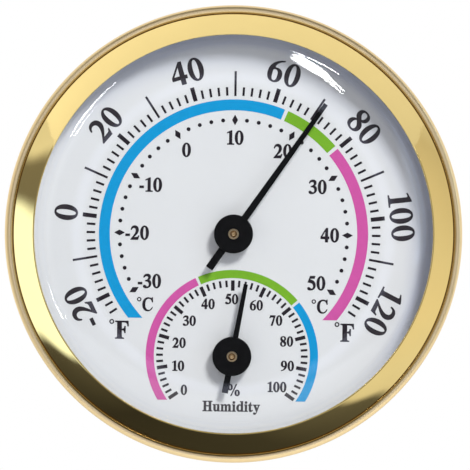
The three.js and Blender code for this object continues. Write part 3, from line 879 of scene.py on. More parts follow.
def traced(steps):
    """The corners of one outline, with each curve drawn in short lines."""
    points = []
    for step in steps.split("|"):
        numbers = [float(number) for number in step.split()]
        pairs = [Vector(numbers[i:i + 2]) for i in range(0, len(numbers), 2)]
        if len(pairs) == 1:
            points += pairs
            continue
        start, near, far, end = points[-1], *pairs
        for i in range(1, CURVE_STEPS + 1):
            t = i / CURVE_STEPS
            u = 1 - t
            points.append(start * u ** 3 + near * 3 * u * u * t + far * 3 * u * t * t + end * t ** 3)
    if (points[0] - points[-1]).length < 1e-6:
        points.pop()
    return points


def thickened(points, weight, hole):
    """Moves an outline outwards, or a hole inwards, to make the stroke heavier."""
    area = sum(a.x * b.y - b.x * a.y for a, b in zip(points, points[1:] + points[:1]))
    if (area > 0) != hole:
        points = points[::-1]
    moved = []
    for before, here, after in zip(points[-1:] + points[:-1], points, points[1:] + points[:1]):
        sides = [Vector((near.y - far.y, far.x - near.x)).normalized()
                 for near, far in ((before, here), (here, after))]
        middle = (sides[0] + sides[1]).normalized()
        moved.append(here + middle * weight / max(0.6, middle.dot(sides[0])))
    return moved


class Lettering:
    """Printed outlines collected in the dial's plane, then cut to one thin mesh."""

    def __init__(self, name, weight):
        self.curve = bpy.data.curves.new(name, "CURVE")
        self.curve.dimensions = "2D"
        self.curve.fill_mode = "BOTH"
        self.weight = weight

    def outline(self, points):
        spline = self.curve.splines.new("POLY")
        spline.points.add(len(points) - 1)
        spline.use_cyclic_u = True
        for knot, (x, z) in zip(spline.points, points):
            knot.co = (x, z, 0.0, 1.0)

    def word(self, text, centre, height, turn=0.0, wide=1.0):
        """Adds a word centred at (x, z) millimetres and turned clockwise."""
        widths = [LETTERS[letter][0] + LETTER_GAP for letter in text]
        scale = height / 100
        start = (LETTER_GAP - sum(widths)) / 2
        for letter, width in zip(text, widths):
            for hole, outlines in enumerate(LETTERS[letter][1:]):
                for steps in outlines:
                    points = thickened(traced(steps), self.weight / scale, bool(hole))
                    flat = [((x + start) * scale * wide, (y - 50) * scale) for x, y in points]
                    self.outline([(x + centre[0], z + centre[1]) for x, z in swung(flat, turn)])
            start += width

    def ring(self, centre, outer, inner):
        """Adds a ring, as in a degree sign."""
        for radius in (outer, inner):
            self.outline(circle_outline(radius, *centre, sides=32))

    def cut_out(self, height):
        """The finished print: closed, and standing off the dial by the ink's height."""
        height /= MM
        self.curve.extrude = height / 2
        source = bpy.data.objects.new(self.curve.name, self.curve)
        bpy.context.scene.collection.objects.link(source)
        evaluated = source.evaluated_get(bpy.context.evaluated_depsgraph_get())
        mesh = bpy.data.meshes.new_from_object(evaluated)
        name = source.name
        bpy.data.objects.remove(source)
        bpy.data.curves.remove(self.curve)
        bm = bmesh.new()
        bm.from_mesh(mesh)
        bpy.data.meshes.remove(mesh)
        lift = Matrix.Translation((0, DIAL_FRONT - height / 2, 0))
        bmesh.ops.transform(bm, matrix=lift @ Matrix.Rotation(math.pi / 2, 4, "X"), verts=bm.verts)
        return stand_up(name, close_up(bm, name), material("black_ink"))


# ---- printed scales -----------------------------------------------------------------


def print_properties():
    return bpy.context.scene.instrument_print


def angle_of(scale, reading):
    """Degrees clockwise from straight up for a reading."""
    return (reading - scale["middle"]) * scale["turn"]


def marks_on(scale):
    """How many marks a scale has, both ends counted."""
    return (scale["high"] - scale["low"]) // scale["mark"] + 1


def tick(name):
    """The outline of one tick, straight above its axis."""
    half, inner, outer = TICKS[name]
    return box_outline(-half, half, inner, outer)


def ring_of_marks(name, outline, tree, z, first, step, count, skip=(1000, -1), ink="black_ink"):
    """Repeats one printed mark, given as (x, z) points above the axis, round a scale."""
    height = print_properties().height / MM
    bm = bmesh.new()
    add_prism(bm, outline, DIAL_FRONT - height, DIAL_FRONT)
    piece = stand_up(name, close_up(bm, name))
    return Tree.run(
        piece, tree, count=count, start=math.radians(first), step=math.radians(step),
        centre=(0.0, 0.0, z * MM), skip_every=skip[0], skip_first=skip[1], material=material(ink),
    )


def band(name, z, inner, outer, start, stop, ink, cut=None):
    """A coloured band between two angles; cut is a height at which its open end is
    trimmed level, given with the end that it trims."""
    height = print_properties().height / MM

    def ends(radius):
        low, high = start, stop
        if cut:
            level = math.degrees(math.acos(max(-1.0, min(1.0, cut[0] / radius))))
            low, high = (-level, high) if cut[1] == "start" else (low, level)
        return low, high

    count = max(8, round(abs(ends(outer)[1] - ends(outer)[0])))
    near, far = (bow(radius, z, *ends(radius), count) for radius in (inner, outer))
    bm = bmesh.new()
    rows = [
        [bm.verts.new((x, y, up)) for x, up in points]
        for points, y in (
            (near, DIAL_FRONT - height), (far, DIAL_FRONT - height),
            (far, DIAL_FRONT), (near, DIAL_FRONT),
        )
    ]
    for row, following in zip(rows, rows[1:] + rows[:1]):
        for i in range(count):
            bm.faces.new((row[i], row[i + 1], following[i + 1], following[i]))
    bm.faces.new([row[0] for row in rows])
    bm.faces.new([row[-1] for row in rows])
    return stand_up(name, close_up(bm, name), material(ink))


def merged(name, pieces):
    """One object from several that share a material."""
    bm = bmesh.new()
    for piece in pieces:
        bm.from_mesh(piece.data)
    finish = pieces[0].data.materials[0]
    for piece in pieces:
        bpy.data.objects.remove(piece)
    bmesh.ops.scale(bm, vec=(1 / MM,) * 3, verts=bm.verts)
    return stand_up(name, close_up(bm, name), finish)


def temperature_marks():
    tree = ring_tree()
    step = FAHRENHEIT["mark"] * FAHRENHEIT["turn"]
    fine = ring_of_marks(
        "temperature_fine_ticks", tick("temperature_fine"), tree, 0.0,
        angle_of(FAHRENHEIT, FAHRENHEIT["low"]), step, marks_on(FAHRENHEIT), skip=(5, 2),
    )
    tens = ring_of_marks(
        "temperature_long_ticks", tick("temperature_long"), tree, 0.0,
        angle_of(FAHRENHEIT, -10), 10 * step, 7,
    )
    thick = ring_of_marks(
        "temperature_thick_ticks", tick("temperature_thick"), tree, 0.0,
        angle_of(FAHRENHEIT, -20), 10 * step, 8,
    )
    radius, first = DOTS["radius"], angle_of(CELSIUS, CELSIUS["low"])
    across, along = DOTS["diamond_half_wide"], DOTS["diamond_half_tall"]
    diamond = [(0, radius - along), (across, radius), (0, radius + along), (-across, radius)]
    diamonds = ring_of_marks(
        "celsius_diamonds", diamond, tree, 0.0, first, 10 * CELSIUS["turn"], 9,
    )
    dots = ring_of_marks(
        "celsius_dots", circle_outline(DOTS["dot_r"], z=radius, sides=20), tree, 0.0, first,
        CELSIUS["mark"] * CELSIUS["turn"], marks_on(CELSIUS), skip=(5, 0),
    )
    return [
        merged("fahrenheit_ticks", [fine, tens, thick]),
        merged("celsius_marks", [diamonds, dots]),
    ]


def humidity_marks():
    tree = ring_tree()
    first = angle_of(HUMIDITY, HUMIDITY["low"])
    step = HUMIDITY["mark"] * HUMIDITY["turn"]
    fine = ring_of_marks(
        "humidity_fine_ticks", tick("humidity_fine"), tree, HUMIDITY_Z,
        first, step, marks_on(HUMIDITY), skip=(5, 0),
    )
    thick = ring_of_marks(
        "humidity_thick_ticks", tick("humidity_thick"), tree, HUMIDITY_Z, first, 5 * step, 11,
    )
    return [merged("humidity_ticks", [fine, thick])]


def bands(name):
    """The three coloured bands of a scale, with the outer two trimmed level."""
    sizes = BANDS[name]
    inner, outer, level = sizes["inner"], sizes["outer"], sizes["level"]
    half_gap = math.degrees(sizes["gap"] / 2 / ((inner + outer) / 2))
    changes = [angle_of(sizes["scale"], reading) for reading in sizes["changes"]]
    starts = (0, *(change + half_gap for change in changes))
    stops = (*(change - half_gap for change in changes), 0)
    cuts = ((level, "start"), None, (level, "stop"))
    return [
        band(f"{name}_{ink}_band", sizes["z"], inner, outer, start, stop, ink + "_ink", cut)
        for ink, start, stop, cut in zip(sizes["inks"], starts, stops, cuts)
    ]


def unit_signs(print_run, sizes):
    """The two signs of a temperature scale, one at each end, with their degree rings."""
    for side in (-1, 1):
        x = side * sizes["x"]
        print_run.word(sizes["sign"], (x + SIGN_SHIFT, sizes["z"]), sizes["height"])
        print_run.ring((x + sizes["ring_x"], sizes["ring_z"]), *sizes["ring_r"])


def fahrenheit_numerals():
    """Large numerals that stand on the scale, with their tops outwards."""
    height, sizes = print_properties().fahrenheit / MM, NUMERALS["fahrenheit"]
    print_run = Lettering("fahrenheit_numerals", sizes["weight"])
    for reading in range(-20, 121, 20):
        angle = angle_of(FAHRENHEIT, reading)
        (x, z), = swung([(0.0, sizes["radius"])], angle)
        print_run.word(str(reading), (x, z), height, angle, FAHRENHEIT_WIDEN)
    unit_signs(print_run, sizes)
    return print_run.cut_out(print_properties().height)


def celsius_numerals():
    """Small upright numerals inside the dots."""
    height, sizes = print_properties().celsius / MM, NUMERALS["celsius"]
    print_run = Lettering("celsius_numerals", sizes["weight"])
    for reading in range(-30, 51, 10):
        (x, z), = swung([(0.0, sizes["radius"])], angle_of(CELSIUS, reading))
        print_run.word(str(reading), (x, z), height)
    unit_signs(print_run, sizes)
    return print_run.cut_out(print_properties().height)


# The middle of each humidity numeral, from 0 to 100, measured from the humidity axis.
HUMIDITY_PLACES = (
    (-10.5, -7.6), (-11.9, -2.3), (-11.7, 2.8), (-9.5, 7.7), (-5.4, 11.45), (-0.2, 12.6),
    (5.25, 11.3), (9.6, 8.0), (12.05, 3.4), (12.3, -2.0), (10.0, -6.7),
)


def humidity_numerals():
    height = print_properties().humidity / MM
    print_run = Lettering("humidity_numerals", 0.08)
    for tens, (x, z) in enumerate(HUMIDITY_PLACES):
        print_run.word(str(tens * 10), (x, HUMIDITY_Z + z), height)
    print_run.word("%", (0.5, HUMIDITY_Z - 7.5), 2.5)
    print_run.word("Humidity", (0.0, HUMIDITY_Z - 11.1), 2.2)
    return print_run.cut_out(print_properties().height)


# ---- operators ----------------------------------------------------------------------


class Maker(bpy.types.Operator):
    """Shared by the operators below."""

    bl_options = {"REGISTER", "UNDO"}

    def execute(self, context):
        self.make(context)
        return {"FINISHED"}


class INSTRUMENT_OT_bezel(Maker):
    """Spin the gold bezel with its dished face and rolled edge"""

    bl_idname = "instrument.bezel"
    bl_label = "Bezel"

    def make(self, context):
        bead, groove, lip = BEZEL["bead"], BEZEL["groove_r"], BEZEL["lip_r"]
        bead_r, bead_y = OUTER_R - bead, CREST_Y + bead
        face_y, lip_y = CREST_Y + BEZEL["face_drop"], CREST_Y + BEZEL["lip_rise"]
        skirt = BEZEL_HIGH.y
        sheet = BEZEL["sheet"]
        rise, run, bulge = lip_y - face_y, groove - lip, BEZEL["face_bulge"]
        steps = 12
        face = [
            (lip + run * i / steps, lip_y - rise * i / steps - bulge * math.sin(math.pi * i / steps))
            for i in range(steps + 1)
        ]
        profile = [
            (lip - 0.1, lip_y + 0.16), (lip - 0.04, lip_y + 0.04), *face,
            (groove + 0.1, face_y + 0.12), (groove + 0.16, face_y + 0.14),
            *arc(bead_r, bead_y, bead, -158, 0, 18),
            (OUTER_R, bead_y + 0.8), (OUTER_R - 0.05, bead_y + 1.0), (OUTER_R - 0.05, skirt - 1.4),
            *arc(OUTER_R - 0.75, skirt - 0.75, 0.7, 0, 90, 6),
            (OUTER_R - 1.1, skirt), (OUTER_R - bead - 0.1, skirt - 1.2),
            (OUTER_R - bead - 0.1, bead_y + sheet), (groove - 0.2, face_y + sheet + 0.25),
            (lip + 0.3, lip_y + sheet), (lip, lip_y + sheet - 0.1), (lip - 0.1, lip_y + 0.3),
        ]
        piece = stand_up("bezel", turned("bezel", profile, 320), material("gold_plate"))
        hand_over(piece, "case", "gold_bezel", "bezel_ring")


class INSTRUMENT_OT_lens(Maker):
    """Mould the clear domed lens with its shoulder and seating rim"""

    bl_idname = "instrument.lens"
    bl_label = "Lens"

    def make(self, context):
        top, thick, flat_r = LENS_TOP, LENS["thick"], LENS["flat_r"]
        rim, rim_back = top + LENS["rim_drop"], top + LENS["rim_drop"] + LENS["rim_thick"]
        dome_r, rim_r = LENS["dome_r"], LENS["rim_r"]
        bevel, wall = 0.15, 0.6

        def drop(radius):
            run = max(0.0, radius - flat_r)
            return LENS["shoulder"] - math.sqrt(LENS["shoulder"] ** 2 - run ** 2)

        steps = 28
        radii = [flat_r + (LENS["steep_r"] - flat_r) * i / steps for i in range(steps + 1)]
        middle = [flat_r * i / 6 for i in range(6)]
        outside = [(r, top + drop(r)) for r in middle + radii]
        outside += [(r, top + y) for r, y in LENS_EDGE]
        inside = [(max(0.0, r - wall), top + thick + drop(r)) for r in reversed(radii)]
        inside += [(r, top + thick) for r in reversed(middle)]
        profile = [
            *outside, (dome_r, rim), (rim_r - bevel, rim), (rim_r, rim + bevel),
            (rim_r, rim_back), (dome_r - wall, rim_back), *inside,
        ]
        mesh = turned("dome", profile, 240, sharp=40.0)
        hand_over(stand_up("dome_lens", mesh, material("clear_lens")), "case", "clear_lens", "lens")


class INSTRUMENT_OT_dial(Maker):
    """Make the dial plate with the rings that clamp it under the lens"""

    bl_idname = "instrument.dial"
    bl_label = "Dial plate"

    def make(self, context):
        front, back, radius = DIAL_LOW.y, DIAL_HIGH.y, DIAL_HIGH.x
        profile = [
            (0, front), (radius - 0.1, front), (radius, front + 0.1), (radius, back), (0, back),
        ]
        plate = stand_up("dial_face", turned("dial_face", profile, 240), material("dial_enamel"))
        bm = bmesh.new()
        for z in (0.0, HUMIDITY_Z):
            add_prism(bm, circle_outline(DIAL_HOLE_R, z=z), front - 1, back + 1)
        carved(plate, close_up(bm, "holes"))
        shade(plate.data)
        hand_over(plate, "case", "dial_face", "dial_plate")
        for node, name, finish, slot, lip in (
            ("dial_spacer_ring", "spacer", "white_plastic", "white_plastic", 0.12),
            ("lens_gasket", "gasket", "gasket_rubber", "gasket", 0.2),
        ):
            low, high = reach(node)
            inner = high.x - RING_WALLS[node]
            ring = [
                (inner, low.y + lip), (inner + lip, low.y), (high.x - lip, low.y), (high.x, low.y + lip),
                (high.x, high.y - lip), (high.x - lip, high.y), (inner + lip, high.y),
                (inner, high.y - lip),
            ]
            piece = stand_up(name, turned(name, ring, 200), material(finish))
            hand_over(piece, "case", slot, node)


class INSTRUMENT_OT_scales(Maker):
    """Print the ticks, dots, diamonds and coloured bands of both scales"""

    bl_idname = "instrument.scales"
    bl_label = "Scales"

    def make(self, context):
        marks = temperature_marks() + humidity_marks()
        for piece in marks + bands("temperature") + bands("humidity"):
            hand_over(piece, "case", "dial_face")


class INSTRUMENT_OT_lettering(Maker):
    """Print the numerals and units"""

    bl_idname = "instrument.lettering"
    bl_label = "Lettering"

    def make(self, context):
        for piece in (fahrenheit_numerals(), celsius_numerals(), humidity_numerals()):
            hand_over(piece, "case", "dial_face")


class INSTRUMENT_OT_pointers(Maker):
    """Make both pointers with the bushes and shaft ends in their hubs"""

    bl_idname = "instrument.pointers"
    bl_label = "Pointers"

    def make(self, context):
        for name, sizes in POINTERS.items():
            self.pointer(name, sizes)
            self.bush(name, sizes["z"])
            self.pin(name, sizes["z"])

    def pointer(self, name, sizes):
        """A blade with a crowned face, joined to a round hub."""
        z, hub_r = sizes["z"], HUB["r"]
        half = [
            (sizes["tail_wide"] / 2, -sizes["tail"]), (sizes["tail_wide"] / 2, -hub_r),
            (sizes["hub_wide"] / 2, hub_r), (sizes["tip_wide"] / 2, sizes["tip"]),
        ]
        front, back, crown = BLADE["front"], BLADE["back"], BLADE["crown"]
        bm = bmesh.new()
        for inset, y in ((0.0, back), (0.0, front + crown), (crown, front)):
            right = [(x - inset, up - math.copysign(inset, up)) for x, up in half]
            points = swung(right + [(-x, up) for x, up in reversed(right)], sizes["angle"], z)
            ring = [bm.verts.new((x, y, up)) for x, up in points]
            if y == back:
                bm.faces.new(ring)
            else:
                for i in range(len(ring)):
                    j = (i + 1) % len(ring)
                    bm.faces.new((previous[i], previous[j], ring[j], ring[i]))
            previous = ring
        bm.faces.new(previous)
        piece = stand_up(name + "_hand", close_up(bm, name + "_hand"), material("pointer_paint"))
        top = HUB_LOW.y
        hub = [
            (0, top + 0.04), (1.9, top + 0.04), (2.0, top), (hub_r - 0.45, top + 0.03),
            *arc(hub_r - 0.3, top + 0.33, 0.3, -90, 0, 6), (hub_r, HUB["back"] - 0.1),
            (hub_r - 0.1, HUB["back"]), (HUB["stem_r"], HUB["back"]), (HUB["stem_r"], HUB_HIGH.y),
            (0, HUB_HIGH.y),
        ]
        carved(piece, turned("hub", hub, 120, z=z), "UNION")
        bm = bmesh.new()
        add_prism(bm, circle_outline(HUB["bush_r"] + 0.06, z=z), top - 1, HUB_HIGH.y + 1)
        carved(piece, close_up(bm, "bore"))
        shade(piece.data)
        hand_over(piece, name + "_pointer", "black_pointer", name + "_pointer")

    def bush(self, name, z):
        """A brass ring with a rolled lip."""
        low, high = reach(name + "_pointer_bush")
        top, bottom = low.y, high.y
        outer, inner = HUB["bush_r"], HUB["shaft_r"] + 0.05
        profile = [
            (inner, top + 0.45), (inner - 0.13, top + 0.4), (inner - 0.13, top + 0.1),
            (inner - 0.04, top),
            (outer - 0.12, top), (outer - 0.03, top + 0.06), (outer, top + 0.2),
            (outer, bottom), (inner, bottom),
        ]
        mesh = turned(name + "_hub_bush", profile, 64, z=z)
        piece = stand_up(name + "_hub_bush", mesh, material(name + "_brass"))
        hand_over(piece, name + "_pointer", "movement_brass", name + "_pointer_bush")

    def pin(self, name, z):
        """The shaft, with a domed and centred front end."""
        low, high = reach(name + "_shaft")
        r = HUB["shaft_r"]
        profile = [
            (0, low.y + 0.2), (0.1, low.y + 0.16), (0.2, low.y + 0.04), (0.27, low.y),
            (0.44, low.y + 0.05), (0.54, low.y + 0.2), (0.55, low.y + 0.7), (r, low.y + 0.75),
            (r, high.y - 0.2), (r - 0.2, high.y), (0, high.y),
        ]
        mesh = turned(name + "_pin", profile, 48, z=z)
        piece = stand_up(name + "_pin", mesh, material(name + "_pin"))
        hand_over(piece, name + "_pointer", "movement_steel", name + "_shaft")


class INSTRUMENT_OT_case(Maker):
    """Mould the case back with its vents, keyhole, rim, posts and stand lugs"""

    bl_idname = "instrument.case"
    bl_label = "Case back"

    def make(self, context):
        outer, inner = BACK["outer"], BACK["outer"] - BACK["wall"]
        skirt = BEZEL_HIGH.y
        flat, shell_r = BACK["flat_r"], CASE["outer_r"]
        profile = [
            (0, outer), (flat - 1, outer), *arc(flat - 1, outer - 4.8, 4.8, 82, 12, 10),
            (shell_r - 1.6, skirt + 1.6), *arc(shell_r - 0.9, skirt + 0.6, 0.7, 150, 90, 1)[1:],
            (shell_r, skirt - 0.6), (shell_r, CASE["front"]),
            (CASE["seat_r"], CASE["front"]), (CASE["seat_r"], CASE["ledge"]),
            (CASE["bore_r"], CASE["ledge"]), (CASE["bore_r"], inner - 3.2),
            (flat, inner - 0.6), (flat - 1, inner), (0, inner),
        ]
        piece = stand_up("case_back", turned("case_back", profile, 200), material("grained_case"))
        carved(piece, self.added(outer, inner), "UNION")
        carved(piece, self.removed(outer, inner))
        shade(piece.data, 28.0)
        hand_over(piece, "case", "black_case", "rear_case")

    def added(self, outer, inner):
        """Rim, pad, posts and lugs, each sunk a little into the case's floor."""
        bm = bmesh.new()
        edge, sunk = 0.35, 0.5
        base = outer - sunk
        rim_in, rim_out, pad = BACK["rim_in"], BACK["rim_out"], BACK["pad_r"]
        add_turned(bm, [
            (rim_in, base), (rim_out, base), (rim_out, -edge), (rim_out - edge, 0),
            (rim_in + edge, 0), (rim_in, -edge),
        ], 200)
        add_turned(bm, [(0, base), (pad, base), (pad, -edge), (pad - edge, 0), (0, 0)], 96)
        front, foot = POST["front"], inner + sunk
        for x, z in POSTS:
            add_turned(bm, [(0, front), (POST["r"], front), (POST["r"], foot), (0, foot)], 32, x, z)
        low, high = STAND["z"] - LUG["half_tall"], STAND["z"] + LUG["half_tall"]
        for side in (-1, 1):
            add_prism(bm, box_outline(*sorted(self.lug_reach(side)), low, high), base, LUG["back"])
        return close_up(bm, "added")

    def lug_reach(self, side):
        """Where a lug begins and ends along x."""
        return side * (STAND["x"] + LUG["inner"]), side * (STAND["end_x"] + LUG["outer"])

    def removed(self, outer, inner):
        """Vents, keyhole, adjuster hole, pilot holes, room for the stand and lug bores."""
        bm = bmesh.new()
        inside, behind = inner - 3, 1
        half = VENT["wide"] / 2
        vent = bow(half, VENT["outer"] - half, -90, 90, 10)
        vent += bow(half, VENT["inner"] + half, 90, 270, 10)
        for side in (-1, 1):
            for angle in VENT["angles"]:
                add_prism(bm, swung(vent, side * angle), inside, behind)
        entry_r, slot_r = KEYHOLE["entry_r"], KEYHOLE["slot_r"]
        join = math.degrees(math.asin(slot_r / entry_r))
        keyhole = bow(entry_r, KEYHOLE["z"], join, 360 - join, 40)
        keyhole += bow(slot_r, KEYHOLE["top"], -90, 90, 12)
        add_prism(bm, keyhole, inside, behind)
        add_prism(bm, circle_outline(ADJUSTER_HOLE_R, z=HUMIDITY_Z), inside, behind)
        for x, z in POSTS:
            pilot = circle_outline(POST["pilot_r"], x, z, 24)
            add_prism(bm, pilot, POST["pilot_front"], inner - 1)
        wide, low = STAND["x"] + STAND_GAP["beside"], STAND_GAP["low"]
        add_prism(bm, box_outline(-wide, wide, low, STAND_GAP["high"]), outer, behind)
        notch, notch_top = FINGER_GAP["half"], STAND["foot_z"] + FINGER_GAP["above_foot"]
        add_prism(
            bm, box_outline(-notch, notch, low, notch_top), outer - FINGER_GAP["deep"], outer + 0.1,
        )
        bore_r = STAND["wire_r"] + LUG["bore_gap"]
        for side in (-1, 1):
            middle = sum(self.lug_reach(side)) / 2
            place = Matrix.Translation((middle, STAND["y"], STAND["z"]))
            bmesh.ops.create_cone(
                bm, cap_ends=True, segments=32, radius1=bore_r, radius2=bore_r,
                depth=LUG["bore_deep"], matrix=place @ Matrix.Rotation(math.pi / 2, 4, "Y"),
            )
        return close_up(bm, "removed")


class INSTRUMENT_OT_stand(Maker):
    """Bend the stand's wire and slide its rubber sleeve on"""

    bl_idname = "instrument.stand"
    bl_label = "Stand"

    def make(self, context):
        self.wire()
        self.foot()

    def wire(self):
        x, z, low = STAND["x"], STAND["z"], STAND["foot_z"]
        small, large = STAND["end_bend"], STAND["foot_bend"]
        left = [(-STAND["end_x"], z)]
        left += arc(-x - small, z - small, small, 90, 0, 10)
        left += arc(-x + large, low + large, large, 180, 270, 10)
        path = left + [(-px, pz) for px, pz in reversed(left)]
        mesh = bpy.data.meshes.new("stand_bail")
        points = [(px * MM, STAND["y"] * MM, pz * MM) for px, pz in path]
        mesh.from_pydata(points, [(i, i + 1) for i in range(len(points) - 1)], [])
        piece = stand_up("stand_bail", mesh)
        Tree.run(piece, wire_tree(), radius=STAND["wire_r"] * MM, sides=32, material=material("bright_wire"))
        hand_over(piece, "stand", "stand_steel", "stand_wire")

    def foot(self):
        """A sleeve with a row of grip rings."""
        low, high = reach("stand_foot")
        half, outer, bore = high.x, (high.z - low.z) / 2, STAND["wire_r"] + 0.06
        rings = 9
        profile = [(bore, -half), (outer - 0.35, -half)]
        for i in range(rings):
            middle = -half + 0.5 + (2 * half - 1) * (i + 0.5) / rings
            profile += [(outer - 0.22, middle - 0.42), (outer, middle - 0.2),
                        (outer, middle + 0.2), (outer - 0.22, middle + 0.42)]
        profile += [(outer - 0.35, half), (bore, half)]
        bm = bmesh.new()
        add_turned(bm, profile, 48)
        turn = Matrix.Translation((0, STAND["y"], STAND["foot_z"])) @ Matrix.Rotation(math.pi / 2, 4, "Z")
        bmesh.ops.transform(bm, matrix=turn, verts=bm.verts)
        piece = stand_up("stand_sleeve", close_up(bm, "stand_sleeve"), material("foot_rubber"))
        hand_over(piece, "stand", "black_rubber", "stand_foot")


class INSTRUMENT_OT_movements(Maker):
    """Wind both coils and finish the plates, bushes and screws inside"""

    bl_idname = "instrument.movements"
    bl_label = "Movements"

    def make(self, context):
        tree = coil_tree()
        for name, sizes in POINTERS.items():
            low, high = reach(name + "_coil")
            mesh = bpy.data.meshes.new(name + "_spring")
            piece = stand_up(name + "_spring", mesh)
            Tree.run(
                piece, tree, turns=float(COIL["turns"]), inner=COIL["inner"] * MM,
                outer=COIL["outer"] * MM, thickness=COIL["strip"] * MM,
                width=(high.y - low.y) * MM,
                centre=(0.0, (low.y + high.y) / 2 * MM, sizes["z"] * MM),
                material=material("coil_strip"),
            )
            hand_over(piece, name + "_adjuster", "coil_metal", name + "_coil")
        for node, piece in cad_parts.items():
            if node.endswith(("front_bush", "rear_bush", "collet", "adjuster")):
                finish = node.split("_")[0] + "_brass"
            elif "bridge" in node or node.startswith("movement_plate"):
                finish = "plated_steel"
            else:
                continue
            piece.data.materials.clear()
            piece.data.materials.append(material(finish))


# The camera's place beside the dial's axis, in millimetres, and its roll in degrees.
CAMERA = {"x": 0.33, "z": -0.22, "roll": -0.78}

# The studio's walls: bearing clockwise from straight up, brightness and how cool it is.
WALLS = (
    (-180, 1.07, 1.33), (-165, 0.98, 1.28), (-150, 0.87, 1.12), (-135, 0.76, 1.06),
    (-118, 0.63, 0.88), (-100, 0.73, 0.88), (-85, 0.80, 0.92), (-70, 0.87, 0.9),
    (-50, 0.84, 1.0), (-41, 0.80, 1.0), (-37, 0.12, 1.0), (-10, 0.05, 1.0), (30, 0.036, 1.0),
    (54, 0.09, 1.0), (58, 1.35, 1.45), (95, 1.35, 1.45), (99, 0.2, 1.0), (109, 0.22, 0.95),
    (113, 0.87, 1.05), (135, 0.74, 1.0), (150, 0.88, 1.17), (165, 1.03, 1.23), (180, 1.07, 1.33),
)


# Bearings are pushed round to and fro, twice in a turn counted from this angle in degrees,
# by this share of how far a direction lies past the depth.
BEARING_SHIFT = {"turn": 12, "depth": -0.525, "share": 0.229}

# Depths, from -1 straight in front of the dial to 1 behind it, over which each part of
# the surroundings fades in or out.
DEPTHS = {
    "dark_spot_ends": (-0.998, -0.994), "ahead_begins": (-0.997, -0.993),
    "ahead_ends": (-0.961, -0.93), "walls_begin": (-0.70, -0.64),
    "walls_end": (-0.42, -0.36), "behind_begins": (-0.36, -0.2),
}
WORLD_STRENGTH = 2.1

# Panels that the lens mirrors: bearing, angle off the axis and turn in degrees, shape,
# width and height in degrees as seen from the dial, and how brightly each glows.
PANEL_DISTANCE = 1.1
PANELS = (
    ("knife_panel", 23.6, 51, -43, "ELLIPSE", 13, 6.5, 30.0),
    ("knife_point", 27, 48.6, -43, "ELLIPSE", 19, 3.0, 30.0),
    ("edge_panel", 25, 60.5, -4, "ELLIPSE", 16, 3.0, 60.0),
    ("left_panel", -48.5, 59, 20, "ELLIPSE", 20, 4.5, 24.0),
    ("low_panel", 239, 56, 19, "ELLIPSE", 26, 2.8, 16.0),
    ("rim_panel", 232, 58, 2, "ELLIPSE", 44, 2.0, 12.0),
)


